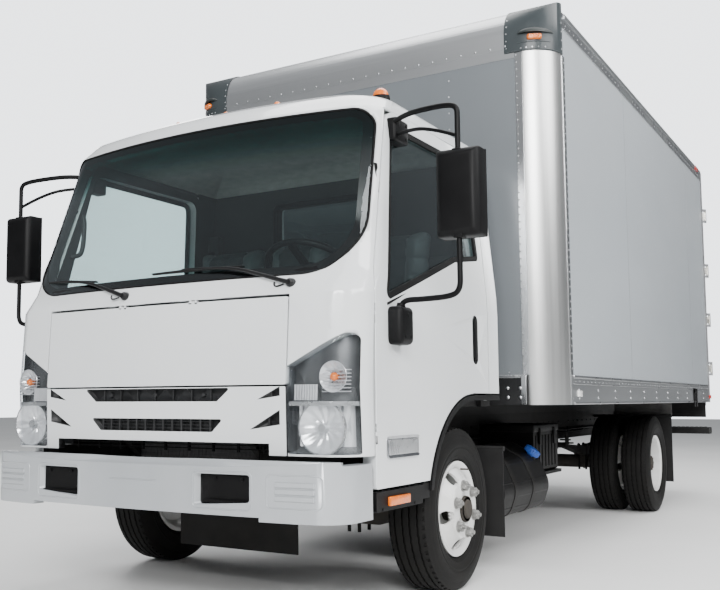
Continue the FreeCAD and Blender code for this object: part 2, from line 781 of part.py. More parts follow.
def make_rear_frame():
    inner = box_half - rear_post
    y0 = box_rear - rear_post
    frame = box(-box_half, box_half, y0, box_rear, box_bottom, box_top)
    frame = frame.cut(box(-inner, inner, y0 - 1, box_rear + 1, box_floor_top, header_low))
    pieces = [frame]
    for z in hinge_heights:
        for end in (-1, 1):
            z_mid = z + end * (lug_half + lug_height / 2)
            pieces += both_sides([plate("z", z_mid - lug_height / 2, z_mid + lug_height / 2, [
                (box_half - 34, box_rear - 10), (box_half, box_rear - 10),
                (hinge_x + 11, hinge_y - 12, 4), (hinge_x + 11, hinge_y + 11, 10),
                (hinge_x - 11, hinge_y + 11, 10), (hinge_x - 11, hinge_y - 12, 4)])])
        pieces += both_sides([rod_z(hinge_pin, z - lug_half - 1, z + lug_half + 1,
                                    hinge_x, hinge_y)])
    save("rear_door_frame", [fuse(pieces)])


def make_cargo_doors():
    inner = box_half - rear_post
    gap = 5
    z0 = box_floor_top + gap
    z1 = header_low - gap
    leaf = box(gap, inner - gap, box_rear - 30, box_rear, z0, z1)
    pieces = [leaf]
    bores = []
    strap_low = box_rear + 5.5
    for z in hinge_heights:
        pieces.append(rod_z(11, z - lug_half + 0.5, z + lug_half - 0.5, hinge_x, hinge_y))
        pieces.append(plate("z", z - 32, z + 32, [
            (hinge_x - 2, hinge_y - 11), (hinge_x - 2, hinge_y - 3), (hinge_x - 40, box_rear + 14),
            (inner - 130, box_rear + 12), (inner - 130, box_rear), (inner - 40, box_rear),
            (inner - 30, strap_low), (hinge_x - 38, strap_low)]))
        bores.append(rod_z(hinge_pin + pin_play, z - 50, z + 50, hinge_x, hinge_y))
    # lock rod with its guides and handle
    rod_at = 215
    pieces.append(rod_z(12, z0 + 8, z1 - 8, rod_at, box_rear + 20))
    for z in (z0 + 60, 1500, 2000, z1 - 60):
        pieces.append(box(rod_at - 22, rod_at + 22, box_rear, box_rear + 22, z - 20, z + 20))
    pieces.append(box(rod_at - 10, rod_at + 330, box_rear + 12, box_rear + 28, 1440, 1470))
    pieces.append(box(rod_at + 290, rod_at + 320, box_rear, box_rear + 14, 1430, 1480))
    door = cut(fuse(pieces), bores)
    save("cargo_door_left", [door])
    save("cargo_door_right", [mirrored(door)])


# ---- cab ------------------------------------------------------------------------------
floor_low = 860
floor_high = 890
tunnel_half = 365
tunnel_top = 1060
tunnel_wall = 20
tunnel_front = -750
wheel_arch_y = 115
wheel_arch_z = 385
wheel_arch_radius = 537
arch_top = 925
arch_trim = 34                 # the black arch moulding's inner edge, in from the arch
arch_gap = 8.5                 # between the door's edge and the moulding
door_bottom = 543
door_rear = 322
door_top = 2148
# the cab door's front edge, from its foot to its top: y, z, corner radius
door_front_edge = [(-905, door_bottom, 12), (-905, 1370, 500), (-640, door_top, 90)]
# side window outline: y, z, corner radius
window_outline = [(-812, 1292, 30), (-40, 1548, 60), (268, 1592, 30), (232, 2092, 60),
                  (-625, 2092, 60)]
side_glass_depth = 16
glass_thick = 5
hinge_pin_x = cab_half - 12
hinge_pin_y = -893
cab_hinge_heights = (760, 1240)
door_nose_radius = 14
far = 1400


def door_region(shift):
    corners = [(y - shift, z, r) for y, z, r in door_front_edge]
    corners[-1] = (corners[-1][0], door_top + shift, 90 + shift)
    corners[0] = (corners[0][0], door_bottom - shift, 12)
    corners += [(250 + shift, door_top + shift, 70), (door_rear + shift, 1700, 600),
                (door_rear + shift, door_bottom - shift)]
    return corners


def arch_tool(radius, top):
    start = cab_half - 80
    circle = rod_x(radius, start, far, wheel_arch_y, wheel_arch_z)
    behind = box(start, far, wheel_arch_y, 700, wheel_arch_z - radius, top)
    return circle.fuse(behind)


def hinge_lug(z0, z1, grow):
    """A flat arm from the pillar's inner corner out to the hinge pin."""
    along = V(-48, -27, 0).normalize()
    across = V(along.y, -along.x, 0)
    pin = V(hinge_pin_x, hinge_pin_y, z0)
    half = 6 + grow
    end = pin + along * (60 + grow)
    points = [pin + across * half, end + across * half, end - across * half,
              pin - across * half]
    arm = Part.Face(Part.makePolygon(points + [points[0]])).extrude(V(0, 0, z1 - z0))
    return arm.fuse(rod_z(6 + grow, z0, z1, hinge_pin_x, hinge_pin_y))


def make_cab_doors():
    panel = cab_skin(0, cab_wall).common(plate("x", 200, far, door_region(0)))
    panel = panel.cut(arch_tool(wheel_arch_radius, arch_top))
    window = plate("x", 200, far, window_outline)
    grip = plate("x", cab_half - 26, far, [(120, 1066, 34), (120, 1306, 34), (188, 1306, 34),
                                           (188, 1066, 34)])
    panel = cut(panel, [window, grip])
    pull = box(cab_half - 24, cab_half - 6, 142, 166, 1100, 1272)
    pull = pull.fuse(box(cab_half - 30, cab_half - 6, 142, 166, 1262, 1310))
    pieces = [panel, pull]
    notches = []
    bores = []
    for z in cab_hinge_heights:
        for end in (-1, 1):
            low = z + end * 24 - 11
            notches.append(hinge_lug(low - 5, low + 27, 4))
            notches.append(box(hinge_pin_x - 24, hinge_pin_x + 10, -1000, hinge_pin_y,
                               low - 5, low + 27))
        bores.append(rod_z(4 + pin_play, z - 60, z + 60, hinge_pin_x, hinge_pin_y))
    # the front edge is rounded about the hinge line, so that it turns inside the seam
    nose = box(hinge_pin_x, far, hinge_pin_y - 60, hinge_pin_y, door_bottom - 1, 1400)
    nose = nose.cut(rod_z(door_nose_radius, door_bottom - 1, 1400, hinge_pin_x, hinge_pin_y))
    door = cut(fuse(pieces), notches + bores + [nose])
    door = max(door.Solids, key=lambda solid: solid.Volume)
    save("cab_door_left", [door])
    save("cab_door_right", [mirrored(door)])
    glass = cab_skin(side_glass_depth, side_glass_depth + glass_thick)
    glass = glass.common(plate("x", 200, far, window_outline))
    save("door_glass_left", [glass])
    save("door_glass_right", [mirrored(glass)])


# windscreen outline: half width and height of its corners, with their radii
screen_low = (932, 1402, 220)
screen_high = (870, 2138, 90)
screen_lap = 30                # the flange that the glass lies on
lid_half = 668
lid_low = 956
lid_high = 1308
lid_gap = 10
lid_thick = 26
lid_hinge_z = 1310
lid_hinge_y = -1103.5
lid_hinge_x = 200
lid_knuckle = 4                # radii of the lid hinges' barrels and pins
lid_pin = 2
grille_half = lid_half
lamp_inner = lid_half + 6
lamp_outer = 948
lamp_low = 684
lamp_back = -945
lamp_depth = 105
lamp_rise = (1029, 1156)       # top edge of the headlamp at its inner and outer end


def screen_plate(grow):
    low_x, low_z, low_r = screen_low
    high_x, high_z, high_r = screen_high
    return plate("y", -1500, 0, [
        (-low_x - grow, low_z - grow, low_r + grow), (low_x + grow, low_z - grow, low_r + grow),
        (high_x + grow, high_z + grow, high_r + grow),
        (-high_x - grow, high_z + grow, high_r + grow)])


def front_plate(half, low, high, radius):
    return plate("y", -1500, -900, [(-half, low, radius), (half, low, radius),
                                    (half, high, radius), (-half, high, radius)])


def lamp_plate(grow):
    return plate("y", -1500, lamp_back, [
        (lamp_inner - grow, lamp_low - grow, 8), (lamp_outer + grow, lamp_low - grow, 8),
        (lamp_outer + grow, lamp_rise[1] + grow, 30), (lamp_outer - 40, lamp_rise[1] + grow, 30),
        (lamp_inner - grow, lamp_rise[0] + grow, 8)])


def make_cab_front():
    edge = [(y - door_gap, z, r) for y, z, r in door_front_edge]
    front = plate("x", -far, far, [(-1500, fascia_bottom), (edge[0][0], fascia_bottom)]
                  + [(y, z, r) for y, z, r in edge[1:-1]]
                  + [(edge[-1][0] - 2, header_z), (-1500, header_z)])
    frame = cab_skin(0, cab_wall).common(front)
    seat = cab_skin(-5, 8.3).common(screen_plate(4))
    away = [
        seat,
        screen_plate(-screen_lap),
        front_plate(lid_half + 6, fascia_bottom - 5, lid_high + lid_gap, 4),
        lamp_plate(0.5),
        mirrored(lamp_plate(0.5)),
    ]
    frame = cut(frame, away)
    # the lid's hinge lugs and pins under the cowl
    lugs = []
    for x0, x1 in ((lid_hinge_x - 20, lid_hinge_x - 8.5), (lid_hinge_x + 8.5, lid_hinge_x + 20)):
        lugs.append(rod_x(lid_knuckle, x0, x1, lid_hinge_y, lid_hinge_z))
        lugs.append(box(x0, x1, lid_hinge_y, lid_hinge_y + 16, lid_hinge_z, lid_high + 24))
    lugs.append(rod_x(lid_pin, lid_hinge_x - 20, lid_hinge_x + 20, lid_hinge_y, lid_hinge_z))
    # the doors' hinge lugs and pins
    for z in cab_hinge_heights:
        for end in (-1, 1):
            low = z + end * 24 - 11
            lugs.append(hinge_lug(low, low + 22, 0))
        lugs.append(rod_z(4, z - 30, z + 30, hinge_pin_x, hinge_pin_y))
    save("cab_front_frame", [fuse([frame] + both_sides(lugs))])


def make_front_lid():
    lid = cab_skin(0, lid_thick).common(front_plate(lid_half, lid_low, lid_high, 10))
    notch = []
    ears = []
    bores = []
    for side in (-1, 1):
        x = side * lid_hinge_x
        notch.append(box(x - 24, x + 24, -1200, -1000, lid_hinge_z - 9, lid_high + 9))
        ears.append(rod_x(lid_knuckle, x - 8, x + 8, lid_hinge_y, lid_hinge_z))
        ears.append(box(x - 8, x + 8, lid_hinge_y - 2, lid_hinge_y + 4,
                        lid_hinge_z - 13, lid_hinge_z))
        bores.append(rod_x(lid_pin + pin_play, x - 30, x + 30, lid_hinge_y, lid_hinge_z))
    save("front_lid", [cut(fuse([cut(lid, notch)] + ears), bores)])


# grille slots: z low, z high, half width at the foot, half width at the head
grille_slots = [(890, 945, 340, 408), (764, 817, 312, 368)]
# side slots: inner tip x, z; outer x, z low, z high
side_slots = [(536, 897, 642, 912, 949), (500, 777, 640, 798, 856)]
grille_thick = 26
grille_back = 12
opening_half = 588
opening_top = 722


def make_grille():
    panel = cab_skin(0, grille_thick + grille_back).common(
        front_plate(grille_half, fascia_bottom, lid_low - 7, 4))
    # every slot is a pocket down to the dark backing, the lowest opening goes through
    slots = []
    for low, high, foot, head in grille_slots:
        slots.append(plate("y", -1500, -900, [(-foot, low, 12), (foot, low, 12),
                                              (head, high, 6), (-head, high, 6)]))
    for tip_x, tip_z, x, low, high in side_slots:
        slots += both_sides([plate("y", -1500, -900, [(tip_x, tip_z), (x, low), (x, high)])])
    floor_form = cab_form(grille_thick)
    pockets = [slot.cut(floor_form) for slot in slots]
    opening = front_plate(opening_half, fascia_bottom - 10, opening_top, 0)
    feet = cab_skin(grille_thick + 4, cab_wall).common(fuse(both_sides([
        box(540, 585, -1500, -900, floor_low + 8, floor_low + 60)])))
    save("grille_panel", [fuse([cut(panel, [opening] + pockets), feet])])


def make_headlamps():
    lamp = cab_skin(0, lamp_depth).common(lamp_plate(0))
    save("headlamps", both_sides([lamp]))


def rear_window_plate(y0, y1):
    half, low, high = rear_window_half, rear_window_low, rear_window_high
    return plate("y", y0, y1, [(-half, low, 30), (half, low, 30), (half, high, 30),
                               (-half, high, 30)])


def make_screens():
    glass = cab_skin(2, 8).common(screen_plate(0))
    save("windscreen", [glass])
    save("rear_window", [rear_window_plate(rear_glass_y, rear_glass_y + glass_thick)])


rear_window_half = 372
rear_window_low = 1740
rear_window_high = 2045
rear_wall = 45
rear_glass_y = 450


def make_cab_shell():
    # back of the cab with the pillars behind the doors
    start = door_rear + door_gap + 3
    back_edge = [(start, floor_low), (start, 1700, 600), (262, header_z), (700, header_z),
                 (700, floor_low)]
    shell = cab_skin(0, rear_wall).common(plate("x", -far, far, back_edge))
    window = rear_window_plate(300, 700)
    opening = box(-tunnel_half - tunnel_wall, tunnel_half + tunnel_wall, 200, 700, 600,
                  tunnel_top + tunnel_wall)
    shell = cut(shell, [window, opening])
    shell = cut(shell, both_sides([arch_tool(wheel_arch_radius, arch_top)]))
    save("cab_rear_wall", [shell])
    roof = cab_skin(0, 32).common(box(-far, far, -far, far, header_z, 2400))
    save("cab_roof", [roof])


def make_cab_floor():
    # the slab clears the doors, but meets the corner frames in front and the rear wall
    front_y = door_front_edge[0][0] - door_gap
    rear_y = door_rear + door_gap
    slab = fuse([
        cab_form(cab_wall + 0.3).common(
            box(-far, far, -1022, front_y, floor_low, floor_high)),
        cab_form(cab_wall + 8).common(box(-far, far, front_y, rear_y, floor_low, floor_high)),
        cab_form(rear_wall + 0.3).common(box(-far, far, rear_y, 700, floor_low, floor_high)),
    ])
    hump_out = box(-tunnel_half - tunnel_wall, tunnel_half + tunnel_wall, tunnel_front, 456,
                   floor_high - 20, tunnel_top + tunnel_wall)
    hump_in = box(-tunnel_half, tunnel_half, tunnel_front + tunnel_wall, 500,
                  floor_low - 1, tunnel_top)
    # the firewall stands on the slab and bears on the frame behind the lid and cowl
    firewall = cab_form(cab_wall + 0.3).common(box(-far, far, -1100, -1000, floor_low, 1345))
    ears = []
    for x in (tilt_arm_x + 8, tilt_arm_x + 40):
        ears.append(plate("x", x, x + 22, [
            (tilt_y - 34, tilt_z - 34, 33), (tilt_y + 34, tilt_z - 34, 33),
            (tilt_y + 60, floor_low + 5), (tilt_y + 8, floor_low + 30),
            (tilt_y - 30, floor_low - 5)]))
    bore = rod_x(tilt_radius + pin_play, -700, 700, tilt_y, tilt_z)
    floor = fuse([slab, hump_out, firewall] + both_sides(ears))
    save("cab_floor", [cut(floor, [hump_in, bore] + both_sides([lamp_plate(4)]))])


def dashboard_body():
    body = plate("x", -870, 870, [
        (-1000, 1090, 10), (-1000, 1345, 20), (-860, 1350, 60), (-700, 1290, 60),
        (-690, 1160, 60), (-760, 1090, 30)])
    body = body.common(cab_form(cab_wall + 12))
    return cut(body, both_sides([lamp_plate(6)]))


def make_dashboard():
    save("dashboard", [dashboard_body()])


# seat centre x, width
seat_places = [(470, 500), (-90, 400), (-560, 480)]


def make_seats():
    solids = []
    for x, width in seat_places:
        low = floor_high if abs(x) > tunnel_half else tunnel_top + tunnel_wall
        base = 1180
        cushion = plate("x", x - width / 2, x + width / 2, [
            (-330, base, 40), (-330, base + 140, 50), (190, base + 120, 30), (190, base, 20)])
        back = plate("x", x - width / 2, x + width / 2, [
            (130, base + 60, 30), (190, base + 620, 50), (300, base + 620, 50),
            (270, base + 60, 30)])
        stand = box(x - width / 2 + 40, x + width / 2 - 40, -260, 180, low, base + 5)
        tunnel = box(-tunnel_half - tunnel_wall - 0.3, tunnel_half + tunnel_wall + 0.3,
                     -800, 480, 600, tunnel_top + tunnel_wall)
        solids.append(fuse([cushion, back, stand]).cut(tunnel))
    save("seats", solids)


wheel_hub = V(465, -560, 1480)
wheel_tilt = 32                # degrees from level


def make_steering_wheel():
    radius = 215
    angle = math.radians(wheel_tilt)
    normal = V(0, math.sin(angle), math.cos(angle))
    rim = Part.makeTorus(radius, 15, wheel_hub, normal)
    hub = Part.makeCylinder(62, 45, wheel_hub - normal * 40, normal)
    spokes = []
    for turn in (20, 160, 270):
        spoke = Part.makeBox(radius - 5, 30, 12, V(0, -15, -20))
        spoke.rotate(V(0, 0, 0), V(0, 0, 1), turn)
        spoke.rotate(V(0, 0, 0), V(1, 0, 0), -wheel_tilt)
        spoke.translate(wheel_hub)
        spokes.append(spoke)
    foot = V(wheel_hub.x, -770, 1120)
    column = Part.makeCylinder(32, (wheel_hub - foot).Length, foot, wheel_hub - foot)
    column = column.cut(dashboard_body())
    column = max(column.Solids, key=lambda solid: solid.CenterOfMass.z)
    save("steering_wheel", [fuse([rim, hub, column] + spokes)])


# wiper pivots and blade ends on the glass: pivot x, z; elbow x, z; blade tip x, z
wiper_routes = [(668, 1364, 400, 1446, -60, 1446), (-190, 1360, -430, 1440, -800, 1470)]


def screen_y(x, z, stand_off):
    """How far forward the cab's face is at a place on the windscreen or cowl."""
    for low, high in zip(cab_sections, cab_sections[1:]):
        if low[0] <= z <= high[0]:
            share = (z - low[0]) / (high[0] - low[0])
            faces = []
            for row in (low, high):
                faces.append(row[1] + row[2] - math.sqrt(row[2] ** 2 - x ** 2))
            return faces[0] + share * (faces[1] - faces[0]) - stand_off
    raise ValueError("height off the cab's face")


def make_wipers():
    solids = []
    for px, pz, ex, ez, tx, tz in wiper_routes:
        pivot = V(px, screen_y(px, pz, 0), pz)
        boss = Part.makeCylinder(19, 36, pivot + V(0, 10, 0), V(0, -1, 0.1))
        arm = tube(7, 30, [(px, pivot.y - 18, pz), (ex, screen_y(ex, ez, 26), ez),
                           (tx * 0.6 + ex * 0.4, screen_y(tx * 0.6 + ex * 0.4, tz, 22), tz + 6)])
        blade = tube(8, 200, [(ex + (px - ex) * 0.15, screen_y(ex, ez, 12), ez + 8),
                              ((ex + tx) / 2, screen_y((ex + tx) / 2, (ez + tz) / 2, 12),
                               (ez + tz) / 2 + 8),
                              (tx, screen_y(tx, tz, 12), tz + 6)])
        solids.append(fuse([boss, arm, blade]).cut(cab_form(-0.3)))
    save("wipers", solids)


def make_steps():
    tread = plate("x", 800, cab_half - 6, [(-902, 452, 10), (-902, door_bottom - 12, 6),
                                           (-470, door_bottom - 12, 6), (-470, 452, 10)])
    riser = box(800, 812, -902, -470, door_bottom - 20, floor_low)
    front = box(800, 885, -902, -890, door_bottom - 20, floor_low)
    shelf = box(800, 885, -902, -470, floor_low - 12, floor_low)
    outer = arch_tool(wheel_arch_radius - arch_gap, arch_top - arch_gap)
    inner = arch_tool(wheel_arch_radius - arch_trim, arch_top - arch_trim)
    trim = outer.cut(inner).common(box(940, cab_half + 4, -500, 462, 500, 1000))
    carrier = box(900, 942, 340, 420, arch_top - arch_trim + 2, arch_top)
    link = box(940, cab_half - 6, -470, -402, 470, 534)
    save("steps", both_sides([fuse([tread, riser, front, shelf, trim, carrier, link])]))


mirror_arm_x = 1268
mirror_arm_y = -762


def make_mirrors():
    head = plate("z", 1537, 1892, [(1176, -795, 40), (1360, -785, 40), (1360, -695, 25),
                                   (1176, -695, 25)])
    arm_x = mirror_arm_x
    arm_y = mirror_arm_y
    upper = tube(11, 60, [(915, -625, 2090), (1030, -700, 2092), (arm_x, arm_y, 2058),
                          (arm_x, arm_y, 1880)])
    brace = tube(8, 40, [(915, -600, 2035), (1020, -680, 2030), (arm_x, arm_y, 1942)])
    lower = tube(11, 60, [(arm_x, arm_y, 1550), (arm_x, arm_y, 1318), (1006, -756, 1296),
                          (1001, -745, 1235)])
    top_bracket = plate("x", 870, 935, [(-648, 2015, 10), (-520, 2000, 10), (-505, 2105, 10),
                                        (-632, 2118, 10)])
    housing = plate("x", cab_half - 20, 1030, [(-798, 1112, 30), (-798, 1282, 30),
                                               (-672, 1268, 20), (-672, 1135, 30)])
    feet = top_bracket.fuse(housing).cut(cab_form(-0.3))
    mirror = fuse([feet, head, upper, brace, lower])
    save("mirror_left", [mirror])
    save("mirror_right", [mirrored(mirror)])


def main():
    os.makedirs("parts", exist_ok=True)
    make_wheels()
    make_front_axle()
    make_knuckles()
    make_springs()
    make_frame()
    make_engine()
    make_radiator()
    make_bumper()
    make_under_guards()
    make_rear_axle()
    make_driveshaft()
    make_exhaust()
    make_tanks()
    make_mud_flaps()
    make_step_bumper()
    make_cargo_floor()
    make_front_wall()
    make_box_sides()
    make_box_roof()
    make_box_corners()
    make_rear_frame()
    make_cargo_doors()
    make_cab_doors()
    make_cab_front()
    make_front_lid()
    make_grille()
    make_headlamps()
    make_screens()
    make_cab_shell()
    make_cab_floor()
    make_dashboard()
    make_seats()
    make_steering_wheel()
    make_wipers()
    make_steps()
    make_mirrors()


main()
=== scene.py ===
import math

import bmesh
import bpy
from mathutils import Matrix, Vector
from mathutils.bvhtree import BVHTree


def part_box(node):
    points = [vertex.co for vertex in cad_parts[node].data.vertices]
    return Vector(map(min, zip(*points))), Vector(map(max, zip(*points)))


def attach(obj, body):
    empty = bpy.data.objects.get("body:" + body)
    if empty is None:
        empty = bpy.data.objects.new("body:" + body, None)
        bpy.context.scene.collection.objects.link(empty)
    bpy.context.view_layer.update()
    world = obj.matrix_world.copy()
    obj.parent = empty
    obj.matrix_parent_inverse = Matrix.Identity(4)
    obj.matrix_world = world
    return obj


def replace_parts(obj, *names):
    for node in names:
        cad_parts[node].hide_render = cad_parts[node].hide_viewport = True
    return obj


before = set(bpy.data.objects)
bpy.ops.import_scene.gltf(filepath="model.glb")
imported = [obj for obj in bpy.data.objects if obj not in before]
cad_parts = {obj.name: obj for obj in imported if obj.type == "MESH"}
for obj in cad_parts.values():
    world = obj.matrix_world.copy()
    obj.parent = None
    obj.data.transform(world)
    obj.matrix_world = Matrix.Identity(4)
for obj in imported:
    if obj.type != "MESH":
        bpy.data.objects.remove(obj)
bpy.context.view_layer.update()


# ---- standing place, camera and light ----
# The truck stands on a plain pale floor under wide soft lights. It is drawn from the
# middle of its front axle, which the axle's own box gives; Z = 0 is the ground.
axle_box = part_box("front_axle")
axle_y = (axle_box[0].y + axle_box[1].y) / 2


def placed(name, data):
    """A new object that stands in the scene."""
    made = bpy.data.objects.new(name, data)
    bpy.context.scene.collection.objects.link(made)
    return made


camera = placed("camera", bpy.data.cameras.new("camera"))
camera.data.sensor_width = 36
camera.data.lens = 47.05
camera.data.shift_x = 0.1042
camera.data.shift_y = 0.0347
camera.matrix_world = (
    Matrix.Translation((2.6874, -6.406, 0.8918))
    @ Matrix.Rotation(0.5743, 4, "Z")
    @ Matrix.Rotation(math.pi / 2 + 0.0856, 4, "X")
    @ Matrix.Rotation(-0.0034, 4, "Z")
)
bpy.context.scene.camera = camera


def nodes_of(owner):
    """add makes a node by its short name. feed gives each input of a node a value, or the
    socket that drives it. Both hand back the node's outputs."""
    tree = owner.node_tree

    def feed(node, inputs):
        for key, value in inputs.items():
            if isinstance(value, bpy.types.NodeSocket):
                tree.links.new(value, node.inputs[key])
            else:
                node.inputs[key].default_value = value
        return node.outputs

    def add(kind, inputs={}, **settings):
        node = tree.nodes.new("ShaderNode" + kind)
        for key, value in settings.items():
            setattr(node, key, value)
        return feed(node, inputs)

    return add, feed


def drifting(name, dark, light, patch=3.0, stretch=(1, 1, 1), gloss=(0.3, 0.45), grain=300.0,
             relief=0.1, metal=0.0, coat=0.0, dust=0.0, soft=0.0, patch_relief=0.0, shine=0.5):
    """A finish that drifts between two shades. patch and grain are the scales of its
    broad and fine marks, relief how deep the grain is, dust how much road dust lies low.
    soft is the radius its edges seem to have, patch_relief how deep slow waves are."""
    material = bpy.data.materials.new(name)
    material.use_nodes = True
    add, feed = nodes_of(material)
    place = add("TexCoord")["Object"]
    turned = add("Mapping", {"Vector": place, "Scale": stretch})["Vector"]
    broad = add("TexNoise", {"Vector": turned, "Scale": patch, "Detail": 6})["Fac"]
    fine = add("TexNoise", {"Vector": turned, "Scale": grain, "Detail": 2})["Fac"]
    spread = add("MapRange", {"Value": broad, "From Min": 0.32, "From Max": 0.68})["Result"]
    colour = add("Mix", {"Factor": spread, "A": (*dark, 1), "B": (*light, 1)},
                 data_type="RGBA")["Result"]
    rough = add("MapRange", {"Value": broad, "To Min": gloss[0], "To Max": gloss[1]})["Result"]
    if dust:
        height = add("SeparateXYZ", {"Vector": place})["Z"]
        low = add("MapRange", {"Value": height, "From Min": 1.3, "From Max": 0.1,
                               "To Max": dust})["Result"]
        thrown = add("TexNoise", {"Vector": place, "Scale": 9, "Detail": 8})["Fac"]
        lying = add("Math", {0: low, 1: thrown}, operation="MULTIPLY")["Value"]
        colour = add("Mix", {"Factor": lying, "A": colour, "B": (0.13, 0.118, 0.10, 1)},
                     data_type="RGBA")["Result"]
        rough = add("Math", {0: rough, 1: lying}, operation="ADD", use_clamp=True)["Value"]
    grained = {"Strength": relief, "Distance": 0.001, "Height": fine}
    if soft:
        grained["Normal"] = add("Bevel", {"Radius": soft}, samples=4)["Normal"]
    normal = add("Bump", grained)["Normal"]
    if patch_relief:
        normal = add("Bump", {"Strength": 1, "Distance": patch_relief, "Height": broad,
                              "Normal": normal})["Normal"]
    feed(material.node_tree.nodes["Principled BSDF"], {
        "Metallic": metal, "Coat Weight": coat, "Coat Roughness": 0.06,
        "Specular IOR Level": shine, "Base Color": colour, "Roughness": rough,
        "Normal": normal})
    return material


floor_mesh = bmesh.new()
bmesh.ops.create_grid(floor_mesh, x_segments=1, y_segments=1, size=40)
floor_data = bpy.data.meshes.new("floor")
floor_mesh.to_mesh(floor_data)
floor_mesh.free()
floor_data.materials.append(drifting("pale_floor", (0.80, 0.80, 0.79), (0.84, 0.84, 0.83),
                                     patch=0.6, gloss=(0.55, 0.7), grain=60, relief=0.02))
placed("floor", floor_data)

world = bpy.data.worlds.new("studio")
world.use_nodes = True
add, feed = nodes_of(world)
# the room is dim near the ground and bright overhead; what is seen behind is a pale wall
upward = add("SeparateXYZ", {"Vector": add("TexCoord")["Generated"]})["Z"]
rise = add("MapRange", {"Value": upward, "From Max": 0.75, "To Min": 0.16,
                        "To Max": 0.50})["Result"]
seen = add("Mix", {"Factor": add("LightPath")["Is Camera Ray"], "A": rise, "B": 3.2})["Result"]
feed(world.node_tree.nodes["Background"], {"Color": (0.93, 0.96, 1.0, 1), "Strength": seen})
bpy.context.scene.world = world

# place, aimed at, width, depth, power
for number, (spot, aim, wide, deep, power) in enumerate([
    ((1.5, 0.5, 9.0), (0.5, 0.5, 0), 7, 10, 1050),
    ((5.0, -12.5, 6.0), (0, -3, 1.2), 6, 4, 1900),
    ((9.5, -3.0, 6.5), (1, 0.5, 1.4), 7, 4, 900),
    ((-7.5, 6.0, 5.0), (0, 3, 1.5), 6, 4, 450),
]):
    lamp = bpy.data.lights.new("softbox_%d" % number, "AREA")
    lamp.shape = "RECTANGLE"
    lamp.size = wide
    lamp.size_y = deep
    lamp.energy = power
    facing = (Vector(aim) - Vector(spot)).to_track_quat("-Z", "Y")
    placed(lamp.name, lamp).matrix_world = Matrix.Translation(spot) @ facing.to_matrix().to_4x4()


# ---- chassis frame ----
# Two pressed channel rails with riveted crossmembers, painted black and dusty below.
# Brackets carry the spring eyes, and a tube across the front carries the tilting cab.
chassis_paint = drifting(
    "chassis_paint", (0.003, 0.003, 0.0033), (0.008, 0.008, 0.0085), patch=7, gloss=(0.35, 0.6),
    relief=0.25, dust=0.14, soft=0.002, shine=0.15)


def dress(finish, *nodes):
    """Parts that keep their own shape get their finish."""
    for node in nodes:
        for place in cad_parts[node].material_slots:
            place.material = finish


dress(chassis_paint, "chassis_frame", "cab_pivot", "spring_brackets", "front_under_guard",
      "driveshaft", "leaf_springs")


def piece(shape, name, body, finish, turn=35, soft=0.0, closed=True):
    """A drawn shape becomes a named piece on its body, moved from the axle to the frame.
    Bends sharper than turn, in degrees, show as edges; soft rounds them off."""
    bmesh.ops.translate(shape, verts=shape.verts, vec=(0, axle_y, 0))
    if closed:
        bmesh.ops.recalc_face_normals(shape, faces=shape.faces)
    mesh = bpy.data.meshes.new(name)
    shape.to_mesh(mesh)
    shape.free()
    for material in finish if isinstance(finish, (list, tuple)) else [finish]:
        mesh.materials.append(material)
    mesh.shade_smooth()
    mesh.set_sharp_from_angle(angle=math.radians(turn))
    made = placed(name, mesh)
    if soft:
        edges = made.modifiers.new("soft_edges", "BEVEL")
        edges.width = soft
        edges.segments = 2
        edges.angle_limit = math.radians(40)
        edges.harden_normals = True
    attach(made, body)
    return made


def block(shape, one, other, finish=0):
    """A squared block between two opposite corners."""
    low, high = map(Vector, zip(*map(sorted, zip(one, other))))
    made = bmesh.ops.create_cube(shape, size=1)["verts"]
    bmesh.ops.scale(shape, verts=made, vec=high - low)
    bmesh.ops.translate(shape, verts=made, vec=(low + high) / 2)
    for face in {f for v in made for f in v.link_faces}:
        face.material_index = finish
    return made


def round_bar(shape, start, end, radius, sides=16, tip=None, finish=0):
    """A round bar, or a rivet or nut, from one point to another. tip is the radius at its
    end where it narrows."""
    start, end = Vector(start), Vector(end)
    along = (end - start).to_track_quat("Z", "Y").to_matrix().to_4x4()
    made = bmesh.ops.create_cone(
        shape, cap_ends=True, segments=sides, radius1=radius,
        radius2=radius if tip is None else tip, depth=(end - start).length,
        matrix=Matrix.Translation((start + end) / 2) @ along)["verts"]
    for face in {f for v in made for f in v.link_faces}:
        face.material_index = finish
    return made


frame_rivets = bmesh.new()
for side in (-1, 1):
    for step in range(46):
        y = -0.82 + step * 0.132
        for z in (0.66, 0.72):
            round_bar(frame_rivets, (side * 0.425, y, z), (side * 0.4305, y, z), 0.009, 8, 0.006)
piece(frame_rivets, "frame_rivets", "chassis", chassis_paint)


# ---- springs, axles and driveline ----
# Bowed packs of steel leaves held to the axles by U-bolts, a forged front beam and a
# pressed rear housing, all bare or thinly painted metal that has gone brown and dusty.
cast_iron = drifting(
    "cast_iron", (0.016, 0.0145, 0.0135), (0.038, 0.034, 0.030), patch=9, gloss=(0.55, 0.8),
    grain=120, relief=0.5, dust=0.3, soft=0.003)
dull_steel = drifting(
    "dull_steel", (0.10, 0.10, 0.10), (0.20, 0.195, 0.19), patch=8, gloss=(0.35, 0.6),
    grain=200, relief=0.2, metal=0.85, dust=0.3, soft=0.002)
dress(cast_iron, "front_axle", "rear_axle", "knuckle_left", "knuckle_right", "engine")
dress(dull_steel, "exhaust")

